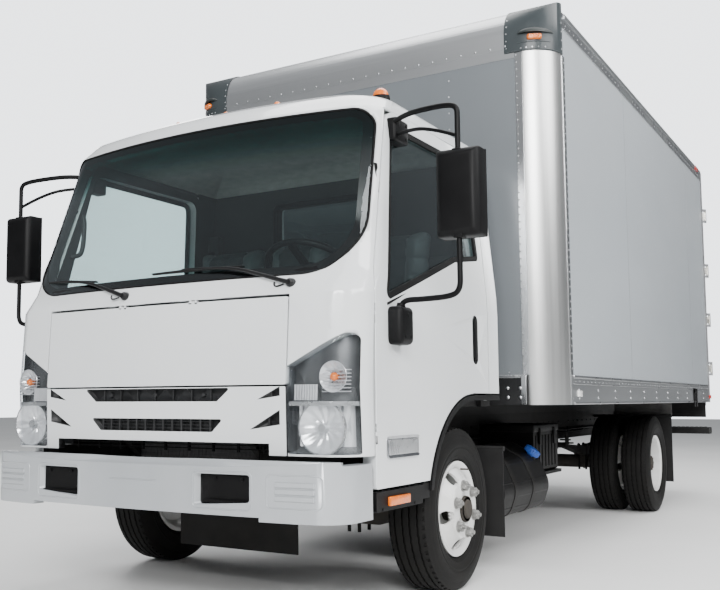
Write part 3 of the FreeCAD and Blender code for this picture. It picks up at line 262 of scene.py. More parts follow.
rear_axle = 3.81
leaf_ends = bmesh.new()
for side in (-1, 1):
    # spring line, axle's Y, seat height, eye height, half length, leaves, half bolt spread
    for x, y, seat, eye, half, leaves, spread in (
            (0.392, 0, 0.342, 0.52, 0.59, 5, 0.052),
            (0.473, rear_axle, 0.437, 0.54, 0.64, 7, 0.07)):
        for leaf in range(1, leaves):
            reach = half * (1 - leaf / (leaves + 1.5))
            for end in (-1, 1):
                drop = (eye - seat) * (reach / half) ** 1.6
                z = seat + 0.011 * (leaves - leaf) + drop
                block(leaf_ends, (side * x - 0.037, y + end * (reach - 0.05), z - 0.016),
                      (side * x + 0.037, y + end * reach, z - 0.004))
        for across in (-0.028, 0.028):
            for along in (-spread, spread):
                round_bar(leaf_ends, (side * x + across, y + along, seat + 0.07),
                          (side * x + across, y + along, seat + 0.088), 0.014, 6)
piece(leaf_ends, "spring_leaf_ends_and_nuts", "chassis", cast_iron)


# ---- tyres ----
# Black radial truck tyres: four zigzag grooves part five ribs, the shoulders are notched,
# and raised rings run round the walls. Each is turned as one section about the wheel.
tyre_rubber = drifting(
    "tyre_rubber", (0.003, 0.003, 0.0033), (0.006, 0.0059, 0.0057), patch=16,
    gloss=(0.55, 0.72), grain=500, relief=0.35, dust=0.06, shine=0.15)
tyre_radius = 0.382
turns = 120
groove_edges = (0.012, 0.022, 0.050, 0.060)


def spun(shape, line, middle, axis, steps, closed=True):
    """A line of points, closed to a ring or not, is joined up and turned about an axis."""
    ends = line[1:] + line[:1] if closed else line[1:]
    edges = [shape.edges.new(pair) for pair in zip(line, ends)]
    bmesh.ops.spin(shape, geom=line + edges, cent=middle, axis=axis, angle=2 * math.pi,
                   steps=steps, use_merge=True)


def tyre_section():
    """Half of the section from the crown's middle out to the bead, then its mirror image."""
    crown, floor_r = tyre_radius, tyre_radius - 0.010
    half = [(0.0, crown), (0.012, crown), (0.013, floor_r), (0.021, floor_r), (0.022, crown),
            (0.036, crown - 0.0004), (0.050, crown - 0.001), (0.051, floor_r - 0.001),
            (0.059, floor_r - 0.001), (0.060, crown - 0.0015), (0.077, crown - 0.003),
            (0.088, crown - 0.008), (0.091, crown - 0.014), (0.0975, 0.352), (0.1015, 0.342),
            (0.1015, 0.338), (0.1035, 0.335), (0.1065, 0.312), (0.107, 0.300), (0.1065, 0.292),
            (0.1050, 0.290), (0.1050, 0.284), (0.1065, 0.281), (0.103, 0.266), (0.0985, 0.252),
            (0.0985, 0.247), (0.0955, 0.244), (0.092, 0.236), (0.086, 0.231), (0.077, 0.226),
            (0.0755, 0.205), (0.070, 0.2035)]
    inside = [(0.074, 0.235), (0.090, 0.262), (0.094, 0.300), (0.086, 0.345), (0.060, 0.362)]
    return half + inside + [(-x, r) for x, r in reversed(inside)] + [
        (-x, r) for x, r in reversed(half[1:])]


def tyre(shape, x, y):
    """One tyre spun from its section, with zigzag grooves and notched shoulders."""
    before = set(shape.verts)
    spun(shape, [shape.verts.new((x + along, y, tyre_radius + radius))
                 for along, radius in tyre_section()], (x, y, tyre_radius), (1, 0, 0), turns)
    made = [v for v in shape.verts if v not in before]
    for v in made:
        off = abs(v.co.x - x)
        height = math.hypot(v.co.y - y, v.co.z - tyre_radius)
        if height > tyre_radius - 0.0025 and min(abs(off - e) for e in groove_edges) < 0.0015:
            step = round(math.atan2(v.co.z - tyre_radius, v.co.y - y) / (2 * math.pi) * turns)
            v.co.x += 0.0018 if step % 2 else -0.0018
    shoulders = []
    for face in {f for v in made for f in v.link_faces}:
        middle = face.calc_center_median()
        height = math.hypot(middle.y - y, middle.z - tyre_radius)
        step = round(math.atan2(middle.z - tyre_radius, middle.y - y) / (2 * math.pi) * turns
                     + 0.5)
        if abs(abs(middle.x - x) - 0.0825) < 0.004 and height > 0.374 and step % 2:
            shoulders.append(face)
    bmesh.ops.recalc_face_normals(shape, faces=list({f for v in made for f in v.link_faces}))
    bmesh.ops.inset_individual(shape, faces=shoulders, thickness=0.0016, depth=0.0)
    for face in shoulders:
        bmesh.ops.translate(shape, verts=list(face.verts), vec=-face.normal * 0.006)


# the vehicle's left is on +X
sides = {"left": 1, "right": -1}
for word, side in sides.items():
    front_tyre = bmesh.new()
    tyre(front_tyre, side * 0.832, 0)
    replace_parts(piece(front_tyre, "front_tyre_" + word, "front_wheel_" + word, tyre_rubber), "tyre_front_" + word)
    rear_tyres = bmesh.new()
    for offset in (-0.125, 0.125):
        tyre(rear_tyres, side * 0.825 + offset, rear_axle)
    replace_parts(piece(rear_tyres, "rear_tyres_" + word, "rear_wheels_" + word, tyre_rubber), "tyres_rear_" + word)


# ---- wheels ----
# White enamelled steel wheels with five hand holes, six nuts on their studs and a greasy
# iron hub. The rims keep their own pressed shape; nuts, studs and valves are put on it.
wheel_enamel = drifting(
    "wheel_enamel", (0.70, 0.70, 0.68), (0.80, 0.80, 0.79), patch=12, gloss=(0.22, 0.4),
    grain=260, relief=0.06, coat=0.3, dust=0.30, soft=0.003)
zinc = drifting(
    "zinc_plate", (0.30, 0.30, 0.29), (0.45, 0.45, 0.44), patch=30, gloss=(0.25, 0.45),
    metal=0.9, relief=0.15, dust=0.3)
hub_iron = drifting(
    "hub_iron", (0.02, 0.017, 0.014), (0.055, 0.046, 0.038), patch=25, gloss=(0.5, 0.75),
    relief=0.5, metal=0.4, dust=0.3, soft=0.002)


def copy_of(node):
    """A CAD part's own shape with its seams joined, drawn from the axle."""
    shape = bmesh.new()
    shape.from_mesh(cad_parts[node].data)
    bmesh.ops.remove_doubles(shape, verts=shape.verts, dist=2e-5)
    bmesh.ops.translate(shape, verts=shape.verts, vec=(0, -axle_y, 0))
    return shape


def pressing(node, name, body, finish, pick=None, turn=32, front=None):
    """A smooth panel in the exact shape of its CAD node, which it stands for. pick gives
    each face the number of its finish. front is the Y of the face it was pressed to: what
    lies on that face shades as the face does, however its skin is cut up."""
    shape = copy_of(node)
    shape.normal_update()
    if pick:
        for face in shape.faces:
            face.material_index = pick(face.calc_center_median(), face.normal)
    made = piece(shape, name, body, finish, turn=turn, closed=False)
    if front:
        mesh, step = made.data, 0.004
        normals = []
        for face in mesh.polygons:
            for corner in face.loop_indices:
                x, y, z = mesh.vertices[mesh.loops[corner].vertex_index].co
                way = Vector((front(x + step, z) - front(x - step, z), -2 * step,
                              front(x, z + step) - front(x, z - step))).normalized()
                on_face = abs(y - axle_y - front(x, z)) < 0.004 and face.normal.dot(way) > 0.96
                normals.append(way if on_face else Vector())
        mesh.normals_split_custom_set(normals)
    else:
        flats = made.modifiers.new("flats_stay_flat", "WEIGHTED_NORMAL")
        flats.keep_sharp = True
        flats.weight = 100
    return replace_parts(made, node)


def on_circle(y, radius, degrees, way=1):
    """Y and Z of a place on a circle about a wheel's axis."""
    turn = math.radians(degrees)
    return y + way * radius * math.cos(turn), tyre_radius + radius * math.sin(turn)


# faces nearer the axis than this are the hub's iron, the rest is enamel
hub_radius = 0.0605
for word, side in sides.items():
    # the wheel's outer face, how far its hub stands out of it, and where the hub begins
    for axle, y, face, out, start, body, node in (
            ("front", 0, side * 0.957, 0.012, 0.0, "front_wheel_", "wheel_front_"),
            ("rear", rear_axle, side * 0.837, 0.165, -0.01, "rear_wheels_", "wheels_rear_")):
        pressing(node + word, axle + "_rim_" + word, body + word, [wheel_enamel, hub_iron],
                 lambda middle, normal: int(
                     math.hypot(middle.y - y, middle.z - tyre_radius) < hub_radius))
        nuts, hub = bmesh.new(), bmesh.new()
        for i in range(6):
            at = on_circle(y, 0.111, 19 + 60 * i, -1)
            # washer, nut and stud
            for high, wide, flats, tip in ((0.004, 0.027, 20, 0.027),
                                           (0.0255, 0.0222, 6, 0.0218),
                                           (0.037, 0.0105, 12, 0.0095)):
                round_bar(nuts, (face, *at), (face + side * high, *at), wide, flats, tip)
        tip = face + side * out
        round_bar(hub, (face + side * start, y, tyre_radius), (tip, y, tyre_radius),
                  0.0615, 40, 0.058)
        round_bar(hub, (tip, y, tyre_radius), (tip + side * 0.010, y, tyre_radius), 0.046, 32,
                  0.040)
        if y:
            for i in range(8):
                at = on_circle(y, 0.048, 45 * i)
                round_bar(hub, (tip, *at), (tip + side * 0.009, *at), 0.008, 6)
        at = on_circle(y, 0.185, 98, -1)
        round_bar(hub, (face - side * 0.03, *at), (face + side * 0.012, *at), 0.005, 8, 0.004)
        piece(nuts, axle + "_nuts_" + word, body + word, zinc, turn=30)
        piece(hub, axle + "_hub_" + word, body + word, hub_iron, soft=0.002)


# ---- cab shell ----
# Pressed steel cab in white gloss enamel: front frame, rear wall and roof are welded into
# one shell, with grey moulded trim on their inner sides and a pale lining under the roof.
cab_enamel = drifting(
    "cab_enamel", (0.70, 0.72, 0.73), (0.74, 0.76, 0.77), patch=1.4, gloss=(0.10, 0.2),
    grain=700, relief=0.03, coat=0.7, dust=0.10, soft=0.003)
trim_plastic = drifting(
    "trim_plastic", (0.022, 0.023, 0.0245), (0.034, 0.035, 0.037), patch=6, gloss=(0.5, 0.65),
    grain=900, relief=0.05, soft=0.003)
lining_cloth = drifting(
    "lining_cloth", (0.34, 0.34, 0.33), (0.42, 0.42, 0.40), patch=20, stretch=(1, 1, 3),
    gloss=(0.85, 0.95), grain=1400, relief=0.1)
black_plastic = drifting(
    "black_plastic", (0.0022, 0.0022, 0.0025), (0.004, 0.004, 0.0044), patch=9,
    gloss=(0.40, 0.55), grain=1100, relief=0.15, dust=0.02, soft=0.002, shine=0.15)
seal_rubber = drifting(
    "seal_rubber", (0.003, 0.003, 0.0033), (0.006, 0.006, 0.006), patch=14, gloss=(0.5, 0.7),
    grain=600, relief=0.3, shine=0.15)

# height, the nose's Y on the middle line, radius of its sweep
face_rows = [(0.500, -1.112, 12.0), (0.950, -1.126, 12.0), (1.322, -1.108, 9.0),
             (1.420, -1.080, 4.2), (2.150, -0.848, 3.4), (2.220, -0.790, 3.2),
             (2.265, -0.690, 3.0), (2.290, -0.520, 3.0)]


def face_y(x, z):
    """How far forward the cab's face stands at a place on it."""
    for low, high in zip(face_rows, face_rows[1:]):
        if z <= high[0]:
            break
    share = (z - low[0]) / (high[0] - low[0])
    fronts = [y + r - math.sqrt(r * r - x * x) for _, y, r in (low, high)]
    return fronts[0] + share * (fronts[1] - fronts[0])


def trimmed_inside(way):
    """Inner sides are trim, all but the painted edges by the doors. way is the Y that the
    frame's inner side faces."""
    def pick(middle, normal):
        inward = normal.y * way
        jamb = abs(middle.x) > 0.87 and inward > 0.8 and (way > 0 or middle.y < 0.40)
        sideways = abs(middle.x) > 0.7 and normal.x * middle.x < -0.3
        return int((inward > 0.35 or sideways) and not jamb)
    return pick


pressing("cab_front_frame", "cab_front", "cab", [cab_enamel, trim_plastic],
         trimmed_inside(1), front=face_y)
pressing("cab_rear_wall", "cab_back", "cab", [cab_enamel, trim_plastic],
         trimmed_inside(-1))
pressing("cab_roof", "cab_roof_skin", "cab", [cab_enamel, lining_cloth],
         lambda middle, normal: int(normal.z < -0.3), turn=40)

# Thin drain channels over the doors.
gutters = bmesh.new()
for side in (-1, 1):
    line = [(side * 0.889, -0.655, 2.152), (side * 0.884, 0.20, 2.156),
            (side * 0.878, 0.36, 2.120)]
    for start, end in zip(line, line[1:]):
        round_bar(gutters, start, end, 0.006, 8)
piece(gutters, "roof_gutters", "cab", cab_enamel)


# ---- windscreen and rear window ----
# Bonded laminated glass, faintly green, with a blue-green shade along its top and a fired
# black border; a rubber lip closes its edge. The rear window sits in a black rubber seal.
def glass(name, tint, shade=None):
    """Clear glass that mirrors more at a slant. shade is a top band's tint, low and high."""
    material = bpy.data.materials.new(name)
    material.use_nodes = True
    add, feed = nodes_of(material)
    nodes = material.node_tree.nodes
    nodes.remove(nodes["Principled BSDF"])
    place = add("TexCoord")["Object"]
    cloudy = add("TexNoise", {"Vector": place, "Scale": 1.3})["Fac"]
    paler = [min(1, c * 1.05) for c in tint]
    colour = add("Mix", {"Factor": cloudy, "A": (*tint, 1), "B": (*paler, 1)},
                 data_type="RGBA")["Result"]
    if shade:
        band_tint, low, high = shade
        height = add("SeparateXYZ", {"Vector": place})["Z"]
        rise = add("MapRange", {"Value": height, "From Min": low, "From Max": high},
                   interpolation_type="SMOOTHSTEP")["Result"]
        colour = add("Mix", {"Factor": rise, "A": colour, "B": (*band_tint, 1)},
                     data_type="RGBA")["Result"]
    # a ray that leaves the pane meets the same index as one that enters it
    index = add("MapRange", {"Value": add("NewGeometry")["Backfacing"], "To Min": 1.5,
                             "To Max": 0.667})["Result"]
    pane = add("MixShader", {
        "Fac": add("Fresnel", {"IOR": index})["Fac"],
        1: add("BsdfTransparent", {"Color": colour})["BSDF"],
        2: add("BsdfGlossy", {"Roughness": 0.02, "Color": (0.92, 0.96, 1.0, 1)})["BSDF"]})
    feed(nodes["Material Output"], {"Surface": pane["Shader"]})
    return material


screen_glass = glass("screen_glass", (0.80, 0.85, 0.845), ((0.04, 0.30, 0.28), 1.90, 2.09))
side_glass = glass("side_glass", (0.64, 0.70, 0.70))
dress(screen_glass, "windscreen")
dress(side_glass, "rear_window", "door_glass_left", "door_glass_right")
fired_black = drifting(
    "fired_black", (0.003, 0.003, 0.0035), (0.005, 0.005, 0.0055), patch=20, gloss=(0.10, 0.18),
    relief=0.02)


def surface_of(node):
    """A CAD part's surface, drawn from the axle, for things that lie on it."""
    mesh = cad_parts[node].data
    shift = Vector((0, axle_y, 0))
    return BVHTree.FromPolygons([v.co - shift for v in mesh.vertices],
                                [tuple(p.vertices) for p in mesh.polygons])


def laid_on(shape, surface, way, lift):
    """Each point travels along way until it meets the surface, and stays lift proud."""
    way = Vector(way)
    for v in shape.verts:
        hit = surface.ray_cast(v.co - way * 2.0, way)[0]
        if hit is None:
            hit = v.co
            for _ in range(12):
                near = surface.find_nearest(hit)[0]
                hit = hit + way * (near - hit).dot(way)
        v.co = hit - way * lift


def outline(shape, corners, place):
    """A flat face with rounded corners, each (u, v, radius). place makes (u, v) a point."""
    points = [Vector(place(u, v)) for u, v, radius in corners]
    verts = [shape.verts.new(p) for p in points]
    shape.faces.new(verts)
    count = len(points)
    for i, (u, v, radius) in enumerate(corners):
        if radius:
            before = points[i - 1] - points[i]
            after = points[(i + 1) % count] - points[i]
            reach = radius / math.tan(before.angle(after) / 2)
            bmesh.ops.bevel(shape, geom=[verts[i]], offset=reach, offset_type="OFFSET",
                            affect="VERTICES", segments=8, profile=0.5, material=-1)
    # long edges get points of their own, so that they can bend with what they lie on
    bmesh.ops.bisect_edges(shape, edges=[e for e in shape.edges if e.calc_length() > 0.12],
                           cuts=11)
    shape.faces.ensure_lookup_table()
    return shape.faces[-1]


def band_of(shape, face, width):
    """Leaves only a band of that width along the inside of a flat outline."""
    bmesh.ops.inset_region(shape, faces=[face], thickness=width, use_boundary=True,
                           use_even_offset=True)
    bmesh.ops.delete(shape, geom=[face], context="FACES_ONLY")


def screen_at(u, v):
    """A place on a flat sheet before the cab's face."""
    return (u, -1.6, v)




screen_corners = [(-0.932, 1.402, 0.220), (0.932, 1.402, 0.220), (0.870, 2.138, 0.090),
                  (-0.870, 2.138, 0.090)]
screen_surface = surface_of("windscreen")
border = bmesh.new()
band_of(border, outline(border, screen_corners, screen_at), 0.036)
laid_on(border, screen_surface, (0, 1, 0), -0.0015)
piece(border, "screen_border", "cab", fired_black, turn=60, closed=False)


def lip(points, name, radius, finish, body, closed=False, taper=None):
    """A round strip, bar or hose along points, drawn from the axle."""
    drawn = bpy.data.curves.new(name, "CURVE")
    drawn.dimensions = "3D"
    drawn.bevel_depth = radius
    drawn.bevel_resolution = 3
    drawn.resolution_u = 8
    drawn.use_fill_caps = True
    strand = drawn.splines.new("NURBS")
    strand.points.add(len(points) - 1)
    for i, (point, place) in enumerate(zip(strand.points, points)):
        point.co = (place[0], place[1] + axle_y, place[2], 1)
        if taper:
            point.radius = taper[i]
    strand.order_u = 3
    strand.use_endpoint_u = not closed
    strand.use_cyclic_u = closed
    drawn.materials.append(finish)
    made = placed(name, drawn)
    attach(made, body)
    return made


def edge_points(corners, place, surface, way, lift):
    """Points round an outline, laid on a surface."""
    shape = bmesh.new()
    face = outline(shape, corners, place)
    laid_on(shape, surface, way, lift)
    points = [loop.vert.co.copy() for loop in face.loops]
    shape.free()
    return points


def grown(corners, by):
    """The same outline, a little larger or smaller about its middle."""
    cu = (min(c[0] for c in corners) + max(c[0] for c in corners)) / 2
    cv = (min(c[1] for c in corners) + max(c[1] for c in corners)) / 2
    return [(u + math.copysign(by, u - cu), v + math.copysign(by, v - cv), radius + by)
            for u, v, radius in corners]


lip(edge_points(grown(screen_corners, -0.002), screen_at, screen_surface, (0, 1, 0), 0.000),
    "screen_lip", 0.0052, seal_rubber, "cab", closed=True)

rear_seal = bmesh.new()
rear_face = outline(rear_seal, [(-0.385, 1.727, 0.04), (0.385, 1.727, 0.04),
                                (0.385, 2.058, 0.04), (-0.385, 2.058, 0.04)],
                    lambda u, v: (u, 0.447, v))
band_of(rear_seal, rear_face, 0.030)
bmesh.ops.solidify(rear_seal, geom=rear_seal.faces[:], thickness=-0.052)
piece(rear_seal, "rear_window_seal", "cab", seal_rubber, soft=0.003)


# ---- lid and grille ----
# The white pressed service lid hinges under the cowl; below it the moulded grille has a
# closed upper slot, an open lower slot and wedge slots at its ends, all lined in black.
# The grille panel's outer edge walls take the same black, as painted shade in its gaps.
# black plastic of the grille's slots and bars, also laid on the panel's outer edge walls as painted shade
slot_plastic = drifting(
    "slot_plastic", (0.008, 0.0085, 0.0095), (0.015, 0.016, 0.0175), patch=15,
    gloss=(0.4, 0.55), grain=1000, relief=0.35, dust=0.1, soft=0.0015)


pressing("front_lid", "service_lid", "front_lid", [cab_enamel, trim_plastic],
         lambda middle, normal: int(normal.y > 0.5), front=face_y)


def join_to(shape, part):
    """Adds one drawn part to another and lets go of it."""
    mesh = bpy.data.meshes.new("joined")
    part.to_mesh(mesh)
    part.free()
    shape.from_mesh(mesh)
    bpy.data.meshes.remove(mesh)


def following(shape, front, low, high, cuts=8, finish=0):
    """A block whose Y is measured from a swept face, and which bends along with it."""
    part = bmesh.new()
    block(part, low, high, finish)
    across = [e for e in part.edges if abs(e.verts[0].co.x - e.verts[1].co.x) > 0.05]
    bmesh.ops.subdivide_edges(part, edges=across, cuts=cuts)
    for v in part.verts:
        v.co.y += front(v.co.x, v.co.z)
    join_to(shape, part)


lid_frame = bmesh.new()
for x0, x1, z0, z1 in ((-0.60, 0.60, 1.235, 1.262), (-0.60, 0.60, 0.985, 1.012),
                       (-0.62, -0.585, 0.985, 1.262), (0.585, 0.62, 0.985, 1.262),
                       (-0.20, -0.17, 1.0, 1.25), (0.17, 0.20, 1.0, 1.25)):
    following(lid_frame, face_y, (x0, 0.022, z0), (x1, 0.036, z1), cuts=10)
block(lid_frame, (-0.03, -1.092, 0.958), (0.03, -1.060, 1.0))
piece(lid_frame, "lid_inner_ribs", "front_lid", cab_enamel, soft=0.003)


def grille_side(middle, normal):
    """Skin in enamel; what lies deeper is black: the slots' lining, and the panel's edge walls
    as painted shade in the gaps round it.
    """
    return int(middle.y - face_y(middle.x, middle.z) > 0.0025 or normal.y > 0.3)


pressing("grille_panel", "grille_skin", "cab", [cab_enamel, slot_plastic],
         grille_side, front=face_y)
grille_bars = bmesh.new()


def bar_in(x, width, z0, z1, depth0, depth1):
    """A short bar set into a slot, between two depths behind the face."""
    z = (z0 + z1) / 2
    y = face_y(x, z)
    block(grille_bars, (x - width / 2, y + depth0, z0), (x + width / 2, y + depth1, z1))


for x in (-0.30, -0.2, -0.1, 0.0, 0.1, 0.2, 0.30):
    bar_in(x, 0.004, 0.892, 0.943, 0.014, 0.026)
for x in (-0.26, 0.0, 0.26):
    y = face_y(x, 0.918)
    round_bar(grille_bars, (x, y + 0.026, 0.918), (x, y + 0.014, 0.918), 0.010, 16, 0.008)
for i in range(13):
    bar_in(-0.30 + i * 0.05, 0.007, 0.765, 0.816, 0.004, 0.024)
for z in (0.777, 0.791, 0.805):
    bar_in(0.0, 0.62, z, z + 0.003, 0.010, 0.014)
for side in (-1, 1):
    bar_in(side * 0.598, 0.005, 0.905, 0.930, 0.010, 0.026)
    bar_in(side * 0.585, 0.005, 0.795, 0.835, 0.010, 0.026)
piece(grille_bars, "grille_bars", "cab", slot_plastic, soft=0.001)

# Slats that show through the low opening, before the radiator.
intake = bmesh.new()
for z in (0.690, 0.706):
    block(intake, (-0.56, -1.045, z), (0.56, -1.035, z + 0.005))
for i in range(9):
    x = -0.52 + i * 0.13
    block(intake, (x, -1.048, 0.680), (x + 0.008, -1.034, 0.722))
piece(intake, "intake_slats", "cab", black_plastic, soft=0.001)


# ---- front bumper ----
# One deep steel pressing in silver-grey satin paint. It has two step pockets lined in
# black plastic, two blanked fog lamp places with ribs, and a grey step pad on its top.
bumper_paint = drifting(
    "bumper_paint", (0.40, 0.42, 0.44), (0.46, 0.48, 0.50), patch=2.5, gloss=(0.24, 0.34),
    grain=900, relief=0.05, metal=0.25, coat=0.35, dust=0.16, soft=0.004)


def bumper_front(x, z=0.55):
    """How far forward the bumper's face stands, which is the same at every height."""
    return -1.25 + 7.0 - math.sqrt(49.0 - x * x)


def bumper_side(middle, normal):
    """The pockets and the whole inner side are black, the rest is painted."""
    deep = middle.y - bumper_front(min(abs(middle.x), 0.8))
    pocket = 0.318 < abs(middle.x) < 0.582 and 0.478 < middle.z < 0.610 and deep > 0.03
    inner = normal.y > 0.5 and middle.y < -0.95 and abs(middle.x) < 0.9
    return int(pocket or inner)


pressing("front_bumper", "bumper_pressing", "chassis", [bumper_paint, black_plastic],
         bumper_side, front=bumper_front)
trim = bmesh.new()
for side in (-1, 1):
    # black liner, its step bar and two bolts in each pocket
    block(trim, (side * 0.36, -1.203, 0.50), (side * 0.565, -1.199, 0.60), 1)
    block(trim, (side * 0.345, -1.222, 0.492), (side * 0.560, -1.200, 0.503), 1)
    for x in (0.40, 0.53):
        round_bar(trim, (side * x, -1.203, 0.585), (side * x, -1.209, 0.585), 0.008, 6,
                  finish=1)
    # three pressed ribs on each blank
    for z in (0.522, 0.548, 0.574):
        following(trim, bumper_front, (side * 0.690, -0.0055, z - 0.0095),
                  (side * 0.855, 0.012, z + 0.0095))
following(trim, bumper_front, (-0.13, -0.0025, 0.5665), (0.13, 0.003, 0.5715))
piece(trim, "bumper_trim", "chassis", [bumper_paint, black_plastic], soft=0.0045)
bumper_surface = surface_of("front_bumper")
for word, side in sides.items():
    # rolled edges round the pocket and round the blank
    for name, x0, x1, z0, z1, radius in (("pocket", 0.312, 0.588, 0.470, 0.616, 0.024),
                                         ("blank", 0.652, 0.880, 0.486, 0.610, 0.018)):
        lip(edge_points([(side * x, z, radius) for x, z in ((x0, z0), (x1, z0), (x1, z1),
                                                            (x0, z1))],
                        screen_at, bumper_surface, (0, 1, 0), -0.0005),
            "bumper_%s_edge_%s" % (name, word), 0.0032, bumper_paint, "chassis",
            closed=True)


# ---- headlamps ----
# Clear polycarbonate covers over a silvered housing: a turn lamp with an amber bulb above,
# a fluted side strip, and one large round reflector with its bulb cap below a silver bar.
silvering = drifting(
    "silvering", (0.62, 0.63, 0.65), (0.74, 0.75, 0.77), patch=6, gloss=(0.14, 0.28),
    relief=0.0, metal=0.5, coat=0.3)
lamp_housing = drifting(
    "lamp_housing", (0.10, 0.105, 0.11), (0.17, 0.175, 0.18), patch=9, gloss=(0.18, 0.3),
    relief=0.0, metal=0.6)
lamp_bezel = drifting(
    "lamp_bezel", (0.36, 0.37, 0.38), (0.48, 0.49, 0.50), patch=12, gloss=(0.2, 0.35),
    relief=0.05, metal=0.7, soft=0.001)
amber_glass = drifting(
    "amber_glass", (0.62, 0.12, 0.005), (0.74, 0.17, 0.01), patch=40, gloss=(0.08, 0.2),
    grain=500, relief=0.3, coat=0.6)
feed = nodes_of(amber_glass)[1]
feed(amber_glass.node_tree.nodes["Principled BSDF"], {
    "Emission Color": (1.0, 0.25, 0.02, 1), "Emission Strength": 0.10})
clear_cover = glass("clear_cover", (0.97, 0.98, 0.985))


def skin_of(node, side):
    """The outer skin alone of one lamp block, with its faces found across soft bends."""
    shape = copy_of(node)
    bmesh.ops.delete(shape, geom=[v for v in shape.verts if v.co.x * side < 0],
                     context="VERTS")
    shape.normal_update()
    first = min(shape.faces, key=lambda f: f.calc_center_median().y)
    found, edge_of_it = {first}, [first]
    while edge_of_it:
        face = edge_of_it.pop()
        for edge in face.edges:
            for other in edge.link_faces:
                if other not in found and other.normal.angle(face.normal, 0) < 0.45:
                    found.add(other)
                    edge_of_it.append(other)
    bmesh.ops.delete(shape, geom=[f for f in shape.faces if f not in found], context="FACES")
    return shape


def met(surface, start, way=(0, 1, 0)):
    """Where a line from start along way meets a surface, if it does."""
    return surface.ray_cast(Vector(start), Vector(way))[0]


def rounded(shape, edges, ease, steps=3):
    """Edges of a drawn shape are rounded off."""
    bmesh.ops.bevel(shape, geom=edges, offset=ease, segments=steps, profile=0.5,
                    affect="EDGES", material=-1)


lamp_surface = surface_of("headlamps")


def cover_y(x, z):
    """How far forward the lamps' covers are."""
    hit = met(lamp_surface, (x, -2.0, z))
    return hit.y if hit else -1.0


def bowl(shape, x, y, z, radius, deep, rings):
    """A round reflector turned about the forward line, open to the front."""
    line = []
    for i in range(rings + 1):
        share = i / rings
        line.append(shape.verts.new((x + radius * share, y + deep * (1 - share ** 2), z)))
    spun(shape, line, (x, y, z), (0, 1, 0), 48, closed=False)
    # every other spoke of the reflector is pressed deeper, which breaks up the light
    for v in shape.verts:
        out = math.hypot(v.co.x - x, v.co.z - z)
        if radius * 0.25 < out < radius * 0.95:
            spoke = round(math.atan2(v.co.z - z, v.co.x - x) / (2 * math.pi) * 48)
            v.co.y += 0.004 * (spoke % 4 > 1)


